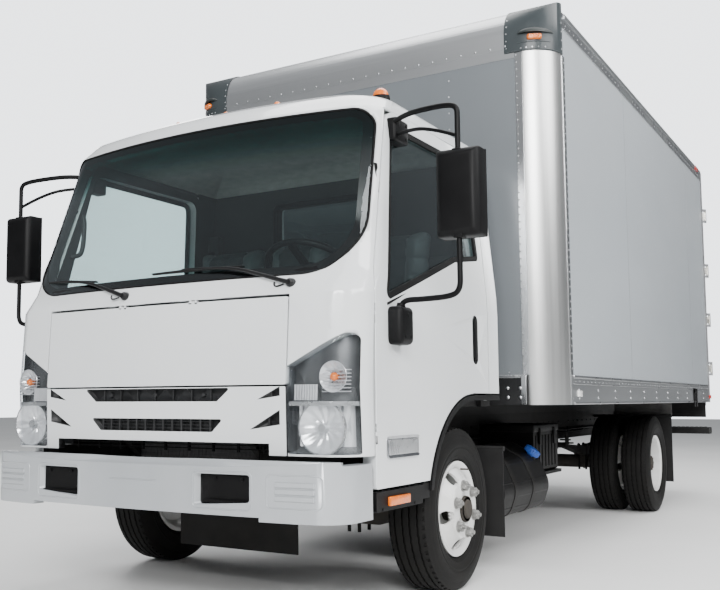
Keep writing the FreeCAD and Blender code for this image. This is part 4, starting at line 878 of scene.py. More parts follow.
for word, side in sides.items():
    cover = skin_of("headlamps", side)
    bmesh.ops.solidify(cover, geom=cover.faces[:], thickness=0.0028)
    shell = piece(cover, "lamp_cover_" + word, "cab", clear_cover, closed=False)
    if side > 0:
        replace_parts(shell, "headlamps")

    # the housing: side walls and a back that follows the cover, all in one open tray
    tray = skin_of("headlamps", side)
    cover_faces = tray.faces[:]
    moved = [v for v in bmesh.ops.extrude_face_region(tray, geom=cover_faces)["geom"]
             if isinstance(v, bmesh.types.BMVert)]
    bmesh.ops.translate(tray, verts=moved, vec=(0, 0.068, 0))
    for v in moved:
        v.co.x = side * min(abs(v.co.x), 0.932)
    bmesh.ops.delete(tray, geom=cover_faces, context="FACES_ONLY")
    bmesh.ops.dissolve_degenerate(tray, edges=tray.edges[:], dist=0.0005)
    middle = sum((v.co for v in tray.verts), Vector()) / len(tray.verts)
    for face in tray.faces:
        face.normal_update()
        if face.normal.dot(middle - face.calc_center_median()) < 0:
            face.normal_flip()
    piece(tray, "lamp_tray_" + word, "cab", lamp_housing, closed=False, turn=25)

    inside = bmesh.new()
    lower_x, lower_z = side * 0.812, 0.785
    y0 = face_y(0.80, 0.8) + 0.024
    bowl(inside, lower_x, y0, lower_z, 0.102, 0.034, 10)
    upper = bmesh.new()
    bowl(upper, side * 0.855, face_y(0.8, 1.0) + 0.040, 0.985, 0.062, 0.036, 8)
    join_to(inside, upper)
    bmesh.ops.remove_doubles(inside, verts=inside.verts, dist=1e-5)
    bmesh.ops.recalc_face_normals(inside, faces=inside.faces)
    bmesh.ops.solidify(inside, geom=inside.faces[:], thickness=0.0015)
    # fluted reflector facets behind the bowls, and the bar between the two chambers
    for i in range(9):
        x = side * (0.692 + i * 0.012)
        round_bar(inside, (x, face_y(0.75, 0.93) + 0.030, 0.893),
                  (x, face_y(0.75, 0.96) + 0.034, 0.955), 0.0055, 10)
    for i in range(7):
        z = 0.925 + i * 0.014
        block(inside, (side * 0.80, face_y(0.80, z) + 0.052, z),
              (side * 0.925, face_y(0.80, z) + 0.064, z + 0.004))
    # the fluted back of the lower chamber, which fills it from wall to wall
    flutes = []
    for i in range(20):
        x = side * (0.695 + 0.0116 * i)
        flutes.append([inside.verts.new((x, cover_y(x, z) + 0.058 + 0.005 * (i % 2), z))
                       for z in (0.712, 0.750, 0.790, 0.830, 0.872)])
    for one, other in zip(flutes, flutes[1:]):
        for corners in zip(one, other, other[1:], one[1:]):
            inside.faces.new(corners)
    piece(inside, "lamp_reflectors_" + word, "cab", silvering,
          closed=False, turn=30)

    bars = bmesh.new()
    following(bars, cover_y, (side * 0.678, 0.008, 0.872), (side * 0.944, 0.042, 0.889),
              cuts=12)
    # the round frame about the big reflector, and its bulb's cap
    ring_y = y0 - 0.002
    spun(bars, [bars.verts.new((lower_x + out, ring_y + back, lower_z))
                for out, back in ((0.1025, 0), (0.1065, 0), (0.1065, 0.012), (0.1025, 0.012))],
         (lower_x, ring_y, lower_z), (0, 1, 0), 40)
    for back, front, radius, flats, tip in ((0.032, 0.006, 0.014, 20, 0.012),
                                            (0.007, -0.001, 0.020, 24, 0.016)):
        round_bar(bars, (lower_x, y0 + back, lower_z), (lower_x, y0 + front, lower_z), radius,
                  flats, tip)
    piece(bars, "lamp_bars_" + word, "cab", lamp_bezel, turn=35)

    bulb = bmesh.new()
    at = Vector((side * 0.855, face_y(0.8, 0.985) + 0.052, 0.985))
    bmesh.ops.create_uvsphere(bulb, u_segments=20, v_segments=12, radius=0.017,
                              matrix=Matrix.Translation(at))
    round_bar(bulb, at, at + Vector((0, 0.030, 0)), 0.011, 16)
    piece(bulb, "turn_bulb_" + word, "cab", amber_glass)


# ---- cab doors ----
# Pressed steel doors in the cab's enamel, a window in a black rubber channel, a black
# pull handle in its cup, and moulded trim with an armrest and a winder on the inside.
def door_side(side):
    """Outer skin and edges in enamel, the inner side in trim, the handle's cup black."""
    def pick(middle, normal):
        cup = 0.10 < middle.y < 0.21 and 1.05 < middle.z < 1.325
        if cup and abs(middle.x) > 0.93 and not (abs(normal.x) > 0.9 and abs(middle.x) > 0.963):
            return 2
        return int(normal.x * side < -0.45 or (normal.y > 0.7 and middle.y < -0.8
                                               and abs(middle.x) < 0.9))
    return pick


def eased(shape, low, high, ease, steps=3, finish=0):
    """A block with all its edges rounded alike."""
    part = bmesh.new()
    block(part, low, high, finish)
    rounded(part, part.edges[:], ease, steps)
    join_to(shape, part)


window_corners = [(-0.812, 1.292, 0.030), (-0.040, 1.548, 0.060), (0.268, 1.592, 0.030),
                  (0.232, 2.092, 0.060), (-0.625, 2.092, 0.060)]

for word, side in sides.items():
    body = "cab_door_" + word
    pressing(body, "door_pressing_" + word, body, [cab_enamel, trim_plastic, black_plastic],
             door_side(side))
    channel = bmesh.new()
    band_of(channel, outline(channel, grown(window_corners, 0.004),
                             lambda u, v: (side * 1.6, u, v)), 0.030)
    laid_on(channel, surface_of("door_glass_" + word), (-side, 0, 0), 0.002)
    bmesh.ops.recalc_face_normals(channel, faces=channel.faces)
    if sum(f.normal.x * side for f in channel.faces) < 0:
        bmesh.ops.reverse_faces(channel, faces=channel.faces)
    bmesh.ops.solidify(channel, geom=channel.faces[:], thickness=-0.012)
    piece(channel, "window_channel_" + word, body, seal_rubber, turn=40)

    # belt weatherstrip along the window's sloping foot
    belt = [(-0.800, 1.290), (-0.42, 1.416), (-0.05, 1.540), (0.26, 1.586)]
    lip([(side * (0.963 - (z - 1.3) * 0.096), y, z - 0.006) for y, z in belt],
        "belt_strip_" + word, 0.006, seal_rubber, body)

    handle = bmesh.new()
    eased(handle, (side * 0.9655, 0.138, 1.090), (side * 0.9705, 0.172, 1.290), 0.0022)
    round_bar(handle, (side * 0.958, 0.154, 1.080), (side * 0.966, 0.154, 1.080), 0.009, 20)
    piece(handle, "door_handle_" + word, body, black_plastic)

    inner = bmesh.new()
    eased(inner, (side * 0.846, -0.50, 1.185), (side * 0.904, 0.05, 1.235), 0.016)
    eased(inner, (side * 0.872, -0.72, 0.995), (side * 0.904, 0.12, 1.115), 0.010)
    round_bar(inner, (side * 0.905, -0.60, 1.215), (side * 0.882, -0.60, 1.215), 0.020, 20,
              0.016)
    block(inner, (side * 0.876, -0.606, 1.135), (side * 0.886, -0.594, 1.215))
    round_bar(inner, (side * 0.882, -0.60, 1.140), (side * 0.856, -0.60, 1.140), 0.010, 14)
    piece(inner, "door_inner_trim_" + word, body, trim_plastic, soft=0.002)


# ---- mirrors ----
# Grained black mouldings on bent tube arms: a bracket on the roof pillar, a housing on the
# door, and a deep head whose silvered glass faces back. Each rides on its door.
mirror_silver = drifting(
    "mirror_silver", (0.82, 0.83, 0.84), (0.88, 0.89, 0.90), patch=4, gloss=(0.01, 0.03),
    relief=0.0, metal=1.0)


for word, side in sides.items():
    body = "cab_door_" + word
    head = bmesh.new()
    block(head, (1.176, -0.795, 1.537), (1.360, -0.697, 1.892))
    rounded(head, [e for e in head.edges if all(v.co.y < -0.79 for v in e.verts)], 0.036, 6)
    rounded(head, [e for e in head.edges if e.calc_face_angle(0) > 0.6], 0.009)
    # rim about the glass, the pivot boss and the clamps that hold the arm
    for x0, x1, z0, z1 in ((1.176, 1.190, 1.537, 1.892), (1.346, 1.360, 1.537, 1.892),
                           (1.176, 1.360, 1.537, 1.553), (1.176, 1.360, 1.876, 1.892)):
        eased(head, (x0, -0.700, z0), (x1, -0.690, z1), 0.003, 2)
    for z in (1.552, 1.870):
        eased(head, (1.248, -0.783, z - 0.022), (1.288, -0.735, z + 0.022), 0.006)
    eased(head, (0.870, -0.645, 2.008), (0.937, -0.512, 2.112), 0.012)
    eased(head, (0.905, -0.640, 2.072), (0.940, -0.600, 2.112), 0.008)
    for y, z in ((-0.62, 2.03), (-0.54, 2.03), (-0.54, 2.09)):
        round_bar(head, (0.930, y, z), (0.9405, y, z), 0.008, 6)
    eased(head, (0.947, -0.796, 1.118), (1.029, -0.675, 1.276), 0.024, 4)
    round_bar(head, (1.001, -0.748, 1.262), (1.004, -0.752, 1.290), 0.022, 20, 0.016)
    for y, z in ((-0.76, 1.15), (-0.71, 1.15), (-0.735, 1.24)):
        round_bar(head, (1.024, y, z), (1.0315, y, z), 0.007, 6)
    if side < 0:
        bmesh.ops.scale(head, verts=head.verts, vec=(-1, 1, 1))
    made = piece(head, "mirror_head_" + word, body, black_plastic, turn=40)
    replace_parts(made, "mirror_" + word)
    silver = bmesh.new()
    eased(silver, (side * 1.268 - 0.079, -0.697, 1.552), (side * 1.268 + 0.079, -0.6925, 1.877),
          0.002, 2)
    piece(silver, "mirror_glass_" + word, body, mirror_silver)
    # route of each bar: distance out, Y, Z
    for part_name, radius, route in (
            ("upper", 0.0115, [(0.915, -0.625, 2.090), (0.985, -0.668, 2.100),
                               (1.110, -0.728, 2.090), (1.235, -0.758, 2.080),
                               (1.268, -0.762, 2.060), (1.268, -0.762, 2.010),
                               (1.268, -0.762, 1.870)]),
            ("brace", 0.0080, [(0.915, -0.605, 2.035), (0.985, -0.655, 2.036),
                               (1.130, -0.722, 2.010), (1.268, -0.762, 1.945)]),
            ("lower", 0.0115, [(1.268, -0.762, 1.555), (1.268, -0.762, 1.400),
                               (1.268, -0.762, 1.330), (1.235, -0.760, 1.302),
                               (1.100, -0.757, 1.298), (1.030, -0.756, 1.300),
                               (1.003, -0.750, 1.282), (1.001, -0.748, 1.245)])):
        lip([(side * x, y, z) for x, y, z in route], "mirror_%s_arm_%s" % (part_name, word),
            radius, black_plastic, body)


# ---- wipers ----
# Two black painted steel arms on capped pivots, each with a sprung bow that holds a thin
# rubber blade on the glass, and a bent spray tube by its pivot.
wiper_black = drifting(
    "wiper_black", (0.004, 0.004, 0.0045), (0.008, 0.008, 0.0085), patch=30, gloss=(0.3, 0.5),
    relief=0.2, shine=0.3)
front_surface = surface_of("cab_front_frame")


def off_screen(x, z, gap):
    """A point that stands off the glass or the cowl."""
    for surface in (screen_surface, front_surface):
        hit = met(surface, (x, -2.0, z))
        if hit:
            return (x, hit.y - gap, z)
    return (x, face_y(x, z) - gap, z)


wiper_caps = bmesh.new()
# pivot, elbow and tip of each arm: X, Z
for number, (px, pz, ex, ez, tx, tz) in enumerate([
        (0.668, 1.364, 0.400, 1.446, -0.060, 1.446),
        (-0.190, 1.360, -0.430, 1.440, -0.800, 1.470)]):
    pivot = Vector(off_screen(px, pz, 0.0))
    round_bar(wiper_caps, pivot + Vector((0, 0.004, 0)), pivot + Vector((0, -0.016, 0.001)),
              0.0195, 24, 0.018)
    round_bar(wiper_caps, pivot + Vector((0, -0.015, 0.001)),
              pivot + Vector((0, -0.027, 0.002)), 0.018, 24, 0.011)
    mx, mz = tx * 0.5 + ex * 0.5, (tz + ez) / 2 + 0.007
    lip([tuple(pivot + Vector((0, -0.019, 0.001))),
         off_screen((px + ex) / 2, (pz + ez) / 2, 0.026),
         off_screen(ex, ez, 0.028), off_screen(mx, mz + 0.004, 0.022),
         off_screen(mx * 0.8 + tx * 0.2, mz + 0.004, 0.020)], "wiper_arm_%d" % number, 0.0082,
        wiper_black, "cab", taper=[1.25, 1.1, 0.9, 0.65, 0.5])
    foot = ex + (px - ex) * 0.15
    blade = [off_screen(foot + (tx - foot) * s, ez + 0.006 + (tz - ez) * s, 0.0115)
             for s in (0.02, 0.2, 0.4, 0.6, 0.8, 0.98)]
    lip(blade, "wiper_bow_%d" % number, 0.0055, wiper_black, "cab",
        taper=[0.5, 0.9, 1.2, 1.2, 0.9, 0.5])
    lip([(x, y + 0.0065, z - 0.003) for x, y, z in blade], "wiper_blade_%d" % number, 0.0032,
        seal_rubber, "cab")
    lip([tuple(pivot + Vector(step)) for step in (
        (-0.030, -0.014, -0.004), (-0.060, -0.016, -0.014), (-0.078, -0.015, -0.004),
        (-0.072, -0.014, 0.008))], "wiper_spray_%d" % number, 0.0035, wiper_black,
        "cab")
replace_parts(piece(wiper_caps, "wiper_caps", "cab", wiper_black), "wipers")


# ---- steps, arch mouldings and side lamps ----
# Black grained mouldings bolted under the doors: a ribbed tread with an amber side lamp in
# its edge, and the lip round the wheel arch. A chrome-framed clear lamp sits in each door.
dress(black_plastic, "steps")
chrome = drifting(
    "chrome", (0.42, 0.43, 0.45), (0.58, 0.59, 0.61), patch=22, gloss=(0.05, 0.14), relief=0.03,
    metal=1.0, dust=0.05)
for word, side in sides.items():
    ribs = bmesh.new()
    for i in range(8):
        eased(ribs, (side * 0.880 - 0.066, -0.880 + i * 0.048, 0.529),
              (side * 0.880 + 0.066, -0.858 + i * 0.048, 0.535), 0.0015, 2)
    for y in (-0.845, -0.55):
        round_bar(ribs, (side * 0.955, y, 0.4605), (side * 0.9615, y, 0.4605), 0.007, 6)
    piece(ribs, "step_ribs_" + word, "cab", black_plastic)
    marker = bmesh.new()
    eased(marker, (side * 0.965 - 0.008, -0.802, 0.470), (side * 0.965 + 0.008, -0.618, 0.507),
          0.004, 2)
    for i in range(9):
        block(marker, (side * 0.972 - 0.0012, -0.790 + i * 0.020, 0.474),
              (side * 0.972 + 0.0012, -0.786 + i * 0.020, 0.503))
    piece(marker, "step_marker_" + word, "cab", amber_glass)

    body = "cab_door_" + word
    rim = bmesh.new()
    block(rim, (-0.006, -0.817, 0.659), (0.006, -0.518, 0.747))
    rounded(rim, [e for e in rim.edges if abs(e.verts[0].co.x - e.verts[1].co.x) > 0.005],
            0.016, 5)
    bmesh.ops.inset_region(rim, faces=[f for f in rim.faces if f.normal.x > 0.9],
                           thickness=0.011)
    sunk = {v for f in rim.faces if f.normal.x > 0.9
            and all(abs(v.co.z - 0.703) < 0.0335 for v in f.verts) for v in f.verts}
    bmesh.ops.translate(rim, verts=list(sunk), vec=(-0.006, 0, 0))
    bmesh.ops.translate(rim, verts=rim.verts, vec=(0.9655, 0, 0))
    bmesh.ops.scale(rim, verts=rim.verts, vec=(side, 1, 1))
    piece(rim, "side_lamp_frame_" + word, body, chrome, soft=0.0015)
    lens = bmesh.new()
    eased(lens, (side * 0.9675 - 0.003, -0.803, 0.672), (side * 0.9675 + 0.003, -0.532, 0.734),
          0.002, 2)
    for i in range(16):
        block(lens, (side * 0.971 - 0.001, -0.795 + i * 0.0165, 0.676),
              (side * 0.971 + 0.001, -0.789 + i * 0.0165, 0.730))
    piece(lens, "side_lamp_lens_" + word, body, lamp_bezel)


# ---- roof marker lamps ----
# Amber lamps on black feet: a tall one near each end of the roof's front edge and three
# small ones about its middle.
def sliced(shape, place, way):
    """What lies beyond a place, along way, is cut away."""
    bmesh.ops.bisect_plane(shape, geom=shape.verts[:] + shape.edges[:] + shape.faces[:],
                           plane_co=place, plane_no=way, clear_outer=True)


def upper_half(around, rings, radius):
    """The closed upper half of a ball."""
    shape = bmesh.new()
    bmesh.ops.create_uvsphere(shape, u_segments=around, v_segments=rings, radius=radius)
    sliced(shape, (0, 0, 0), (0, 0, -1))
    bmesh.ops.holes_fill(shape, edges=[e for e in shape.edges if e.is_boundary])
    return shape


roof_surface = surface_of("cab_roof")
for number, (x, y, size) in enumerate([(-0.815, -0.54, 1.15), (-0.30, -0.60, 0.62),
                                       (0.0, -0.60, 0.62), (0.30, -0.60, 0.62),
                                       (0.815, -0.54, 1.15)]):
    top = met(roof_surface, (x, y, 3.0), (0, 0, -1))
    foot = bmesh.new()
    round_bar(foot, (0, 0, -0.012), (0, 0, 0.006), 0.037, 24, 0.034)
    lamp = upper_half(24, 14, 0.031)
    for v in lamp.verts:
        v.co.z = v.co.z * 1.15 + 0.004
    for shape in (foot, lamp):
        bmesh.ops.scale(shape, verts=shape.verts, vec=(size * 1.05, size * 0.9, size))
        bmesh.ops.translate(shape, verts=shape.verts, vec=top)
    piece(foot, "roof_lamp_foot_%d" % number, "cab", black_plastic)
    piece(lamp, "roof_lamp_%d" % number, "cab", amber_glass, turn=50)

# A black air slot low on each roof pillar, beside the screen.
for word, side in sides.items():
    slot_shape = bmesh.new()
    eased(slot_shape, (side * 1.30 - 0.002, -0.777, 1.755), (side * 1.30 + 0.002, -0.757, 1.885),
          0.0018, 2)
    seats = [met(front_surface, (side * 1.6, y, z), (-side, 0, 0))
             for y in (-0.775, -0.767, -0.759) for z in (1.76, 1.79, 1.82, 1.85, 1.88)]
    seats = [hit for hit in seats if hit and abs(hit.x) > 0.9]
    for v in slot_shape.verts:
        v.co.x += min(seats, key=lambda hit: (hit - v.co).yz.length).x - side * 1.30
    piece(slot_shape, "pillar_slot_" + word, "cab", black_plastic)


# ---- cab inside ----
# Grained grey mouldings over the cowl and the engine tunnel, a ribbed rubber mat on the
# floor, a padded-rim steering wheel, and a grab handle on the right pillar.
mat_rubber = drifting(
    "mat_rubber", (0.006, 0.006, 0.0065), (0.012, 0.012, 0.012), patch=10, gloss=(0.6, 0.8),
    grain=700, relief=0.5, dust=0.05, soft=0.003, shine=0.25)
dash_plastic = drifting(
    "dash_plastic", (0.018, 0.019, 0.021), (0.028, 0.029, 0.031), patch=5, gloss=(0.5, 0.62),
    grain=1200, relief=0.15, soft=0.004)
dress(mat_rubber, "cab_floor")
dress(dash_plastic, "dashboard")
dress(black_plastic, "steering_wheel")

dash = bmesh.new()
# instrument hood; vents with slats, a middle panel with radio slot and knobs, the glove
# lid and its lock, a row of switches, and the slots that blow on the screen
block(dash, (0.270, -0.985, 1.330), (0.660, -0.720, 1.425))
rounded(dash, [e for e in dash.edges if all(v.co.z > 1.42 for v in e.verts)],
        0.040, 5)
bmesh.ops.inset_region(dash, thickness=0.014, depth=-0.05, faces=[
    f for f in dash.faces if f.normal.y > 0.9 and f.calc_area() > 0.02])
for x in (-0.78, -0.30, 0.10, 0.76):
    eased(dash, (x - 0.062, -0.735, 1.262), (x + 0.062, -0.690, 1.318), 0.006, 2)
    for i in range(5):
        block(dash, (x - 0.052, -0.692, 1.270 + i * 0.009),
              (x + 0.052, -0.684, 1.273 + i * 0.009), 1)
eased(dash, (-0.18, -0.720, 1.110), (0.18, -0.686, 1.245), 0.008, 2)
eased(dash, (-0.145, -0.700, 1.175), (0.145, -0.679, 1.232), 0.004, 2, 1)
for x in (-0.11, 0.0, 0.11):
    round_bar(dash, (x, -0.690, 1.142), (x, -0.668, 1.142), 0.018, 20, 0.015, 1)
eased(dash, (-0.74, -0.712, 1.125), (-0.30, -0.684, 1.240), 0.010, 3)
round_bar(dash, (-0.52, -0.690, 1.222), (-0.52, -0.678, 1.222), 0.012, 16, finish=1)
for i in range(4):
    eased(dash, (0.66 + i * 0.036, -0.705, 1.190), (0.688 + i * 0.036, -0.678, 1.220),
          0.003, 2, 1)
for i in range(28):
    x = -0.78 + i * 0.058
    block(dash, (x, -0.955, 1.3495), (x + 0.040, -0.947, 1.3525), 1)
# stalks and the column's shroud under the wheel
eased(dash, (0.405, -0.735, 1.262), (0.525, -0.610, 1.378), 0.022, 3)
for side in (-1, 1):
    round_bar(dash, (0.465 + side * 0.05, -0.630, 1.372),
              (0.465 + side * 0.190, -0.600, 1.405), 0.0065, 10, 0.009, 1)
piece(dash, "dash_fittings", "cab", [dash_plastic, black_plastic])

footwell = bmesh.new()
for side in (-1, 1):
    for i in range(14):
        x = side * (0.43 + i * 0.031)
        block(footwell, (x - 0.006, -0.66, 0.889), (x + 0.006, -0.36, 0.894))
# three pedals on their arms
for x, z in ((0.33, 1.03), (0.455, 1.02), (0.585, 0.99)):
    eased(footwell, (x - 0.030, -0.838, z - 0.045), (x + 0.030, -0.822, z + 0.045), 0.005, 2)
    round_bar(footwell, (x, -0.836, z + 0.030), (x, -0.905, z + 0.14), 0.010, 10)
# tunnel cover, the gear lever in its boot and the brake lever
eased(footwell, (-0.375, -0.700, 1.076), (0.375, -0.350, 1.086), 0.004, 2)
round_bar(footwell, (0.215, -0.470, 1.080), (0.215, -0.470, 1.130), 0.052, 24, 0.016)
round_bar(footwell, (0.215, -0.470, 1.125), (0.225, -0.500, 1.330), 0.008, 12)
bmesh.ops.create_uvsphere(footwell, u_segments=20, v_segments=14, radius=0.026,
                          matrix=Matrix.Translation((0.226, -0.502, 1.348)))
eased(footwell, (0.232, -0.260, 1.082), (0.268, 0.02, 1.112), 0.006, 2)
round_bar(footwell, (0.250, -0.02, 1.105), (0.250, -0.235, 1.180), 0.011, 12, 0.014)
piece(footwell, "floor_fittings", "cab", mat_rubber)

lip([(-0.876, -0.770, 1.640), (-0.862, -0.732, 1.644), (-0.852, -0.710, 1.670),
     (-0.854, -0.696, 1.760), (-0.858, -0.690, 1.850), (-0.866, -0.708, 1.876),
     (-0.880, -0.738, 1.880)], "grab_handle_right", 0.0125, trim_plastic, "cab")

boss = bmesh.new()
round_bar(boss, (0, 0, -0.030), (0, 0, 0.020), 0.072, 32, 0.056)
rounded(boss, [e for e in boss.edges if all(v.co.z > 0.019 for v in e.verts)], 0.010, 4)
for turn in (20, 160, 270):
    spoke = bmesh.new()
    block(spoke, (0.030, -0.024, -0.022), (0.205, 0.024, -0.002))
    for v in spoke.verts:
        if v.co.x > 0.1:
            v.co.y *= 0.62
            v.co.z += 0.010
    rounded(spoke, spoke.edges[:], 0.007)
    bmesh.ops.rotate(spoke, verts=spoke.verts, cent=(0, 0, 0),
                     matrix=Matrix.Rotation(math.radians(turn), 3, "Z"))
    join_to(boss, spoke)
bmesh.ops.transform(boss, verts=boss.verts, matrix=Matrix.Translation(
    (0.465, -0.560, 1.480)) @ Matrix.Rotation(math.radians(-32), 4, "X"))
piece(boss, "steering_wheel_boss", "cab", black_plastic)

# Moulded trim on the rear wall: a long shelf, seat belt towers and their webbing.
rear_trim = bmesh.new()
eased(rear_trim, (-0.80, 0.385, 1.60), (0.80, 0.412, 1.655), 0.008, 2)
for side in (-1, 1):
    eased(rear_trim, (side * 0.80 - 0.040, 0.345, 1.62), (side * 0.80 + 0.040, 0.400, 1.90),
          0.012, 3)
    block(rear_trim, (side * 0.80 - 0.022, 0.330, 1.20), (side * 0.80 + 0.022, 0.333, 1.80), 1)
piece(rear_trim, "rear_wall_trim", "cab", [trim_plastic, seal_rubber])


# ---- seats ----
# Foam cushions under stretched grey cloth, piped at the edges, on black steel stands. The
# driver's seat is the widest of the three and the middle one the narrowest.
seat_cloth = drifting(
    "seat_cloth", (0.035, 0.036, 0.040), (0.052, 0.054, 0.059), patch=14, gloss=(0.85, 0.95),
    grain=1500, relief=0.3)
seat_vinyl = drifting(
    "seat_vinyl", (0.10, 0.105, 0.11), (0.13, 0.135, 0.14), patch=10, gloss=(0.5, 0.65),
    grain=1500, relief=0.2)


def stuffed(low, high, bag=0.034):
    """A bag of cloth blown up from a slightly smaller block, whose edges are rounded
    by bag."""
    low, high = Vector(low), Vector(high)
    shape = bmesh.new()
    block(shape, low + Vector((0.010, 0.010, 0.012)), high - Vector((0.010, 0.010, 0.012)))
    rounded(shape, shape.edges[:], bag)
    mesh = bpy.data.meshes.new("bag")
    shape.to_mesh(mesh)
    shape.free()
    made = placed("bag", mesh)
    even = made.modifiers.new("even", "REMESH")
    even.mode = "VOXEL"
    even.voxel_size = 0.0085
    start = bpy.data.meshes.new_from_object(
        made.evaluated_get(bpy.context.evaluated_depsgraph_get()))
    made.modifiers.clear()
    made.data = start
    blown = made.modifiers.new("blown", "CLOTH")
    blown.settings.use_pressure = True
    blown.settings.uniform_pressure_force = 4
    blown.settings.effector_weights.gravity = 0
    blown.settings.quality = 4
    blown.point_cache.frame_start = 1
    blown.point_cache.frame_end = 20
    for step in range(1, 21):
        bpy.context.scene.frame_set(step)
        swollen = made.evaluated_get(bpy.context.evaluated_depsgraph_get())
    ends = [v.co.copy() for v in swollen.data.vertices]
    bpy.data.objects.remove(made)
    bpy.context.scene.frame_set(1)
    shape = bmesh.new()
    shape.from_mesh(start)
    bpy.data.meshes.remove(start)
    for v, end in zip(shape.verts, ends):
        moved = end - v.co
        v.co += moved * min(1, 0.026 / max(moved.length, 1e-6))
    return shape


def sewn(shape, lines, deep=0.007, wide=0.011):
    """Draws the cloth in along lines, each an axis across it and a place on that axis."""
    middle = sum((v.co for v in shape.verts), Vector()) / len(shape.verts)
    for axis, place in lines:
        for v in shape.verts:
            pull = deep * math.exp(-((v.co[axis] - place) / wide) ** 2)
            inward = middle - v.co
            inward[axis] = 0
            v.co += inward.normalized() * pull


# both are drawn once about X = 0, 500 mm wide; a narrower seat takes them squeezed in X
cushion = stuffed((-0.25, -0.330, 1.180), (0.25, 0.190, 1.318))
for v in cushion.verts:
    v.co.z = max(1.190, v.co.z - 0.018 * max(0, v.co.y + 0.05) / 0.24)
sewn(cushion, [(0, -0.125), (0, 0.125), (1, -0.215)])
backrest = stuffed((-0.25, 0.130, 1.240), (0.25, 0.255, 1.795), 0.040)
for v in backrest.verts:
    v.co.y += 0.052 * (v.co.z - 1.240) / 0.56
sewn(backrest, [(0, -0.125), (0, 0.125), (2, 1.62), (2, 1.42)])
seat_meshes = []
for drawn in (cushion, backrest):
    kept = bpy.data.meshes.new("seat_form")
    drawn.to_mesh(kept)
    drawn.free()
    seat_meshes.append(kept)

seat_stands = bmesh.new()
for number, (x, wide) in enumerate([(0.470, 0.500), (-0.090, 0.400), (-0.560, 0.480)]):
    for word, kept, faces in (("cushion", seat_meshes[0], 2), ("back", seat_meshes[1], 1)):
        drawn = bmesh.new()
        drawn.from_mesh(kept)
        bmesh.ops.scale(drawn, verts=drawn.verts, vec=(wide / 0.5, 1, 1))
        bmesh.ops.translate(drawn, verts=drawn.verts, vec=(x, 0, 0))
        drawn.normal_update()
        for face in drawn.faces:
            middle = face.calc_center_median()
            panel = abs(middle.x - x) < 0.25 * wide
            front = face.normal.z > 0.3 if faces == 2 else face.normal.y < -0.3
            face.material_index = int(not (panel and front))
        made = piece(drawn, "seat_%s_%d" % (word, number), "cab", [seat_cloth, seat_vinyl],
                     turn=80)
        if number == 0 and word == "cushion":
            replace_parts(made, "seats")
    half = wide / 2
    lip([(x - half + 0.03, -0.300, 1.302), (x - half + 0.10, -0.322, 1.304),
         (x + half - 0.10, -0.322, 1.304), (x + half - 0.03, -0.300, 1.302)],
        "seat_piping_%d" % number, 0.0035, seat_vinyl, "cab")
    eased(seat_stands, (x - half + 0.045, -0.255, 1.082), (x + half - 0.045, 0.175, 1.186),
          0.010, 2)
    if number != 1:
        inner, outer = sorted((math.copysign(0.392, x), math.copysign(abs(x) + half - 0.045, x)))
        eased(seat_stands, (inner, -0.255, 0.889), (outer, 0.175, 1.095), 0.008, 2)
        for y in (-0.20, 0.10):
            eased(seat_stands, (inner + 0.01, y - 0.02, 0.889), (outer + 0.012, y + 0.02, 0.899),
                  0.002, 2)
    for hinge in (x - half + 0.02, x + half - 0.045):
        eased(seat_stands, (hinge, 0.185, 1.150), (hinge + 0.025, 0.262, 1.330), 0.006, 2)
for kept in seat_meshes:
    bpy.data.meshes.remove(kept)
piece(seat_stands, "seat_stands", "cab", black_plastic)


# ---- engine bay, tanks and what hangs on the frame ----
# A finned radiator before a cast engine; a black fluid tank with a blue filler cap, a
# strapped steel fuel tank, a battery box and rubber mud flaps hang on the rails.
fin_metal = drifting(
    "fin_metal", (0.05, 0.052, 0.055), (0.11, 0.112, 0.115), patch=5, stretch=(1, 1, 60),
    gloss=(0.4, 0.6), grain=60, relief=0.9, metal=0.7, dust=0.4)
tank_black = drifting(
    "tank_black", (0.0025, 0.0025, 0.0028), (0.005, 0.005, 0.0053), patch=6, gloss=(0.4, 0.55),
    grain=500, relief=0.4, dust=0.04, soft=0.004, shine=0.15)
tank_paint = drifting(
    "tank_paint", (0.05, 0.052, 0.055), (0.085, 0.087, 0.09), patch=3, gloss=(0.3, 0.5),
    relief=0.15, metal=0.5, dust=0.3, soft=0.004)
cap_blue = drifting(
    "cap_blue", (0.012, 0.06, 0.30), (0.02, 0.085, 0.38), patch=20, gloss=(0.35, 0.5),
    grain=700, relief=0.3, soft=0.003)
dress(fin_metal, "radiator")
dress(tank_black, "battery_box")
dress(tank_paint, "fuel_tank")
dress(mat_rubber, "mud_flaps")


# the middle of the fluid tank's cap and the way its neck points
cap_middle = Vector((0.844, 1.306, 0.575))
cap_way = Vector((0.6, 0.1, 0.79)).normalized()


def filler(middle, normal):
    """The cap on the fluid tank's neck is blue."""
    from_cap = middle - cap_middle
    return int(from_cap.dot(cap_way) > -0.004 and from_cap.cross(cap_way).length < 0.050)


pressing("fluid_tank", "fluid_tank_shell", "chassis", [tank_black, cap_blue],
         filler)
cap_grips = bmesh.new()
sideways = cap_way.orthogonal().normalized()
for i in range(24):
    foot = cap_middle + Matrix.Rotation(2 * math.pi * i / 24, 3, cap_way) @ sideways * 0.0455
    round_bar(cap_grips, foot + cap_way * 0.004, foot + cap_way * 0.030, 0.0028, 6)
round_bar(cap_grips, cap_middle + cap_way * 0.031, cap_middle + cap_way * 0.036, 0.036, 28,
          0.033)
piece(cap_grips, "filler_cap_grips", "chassis", cap_blue)


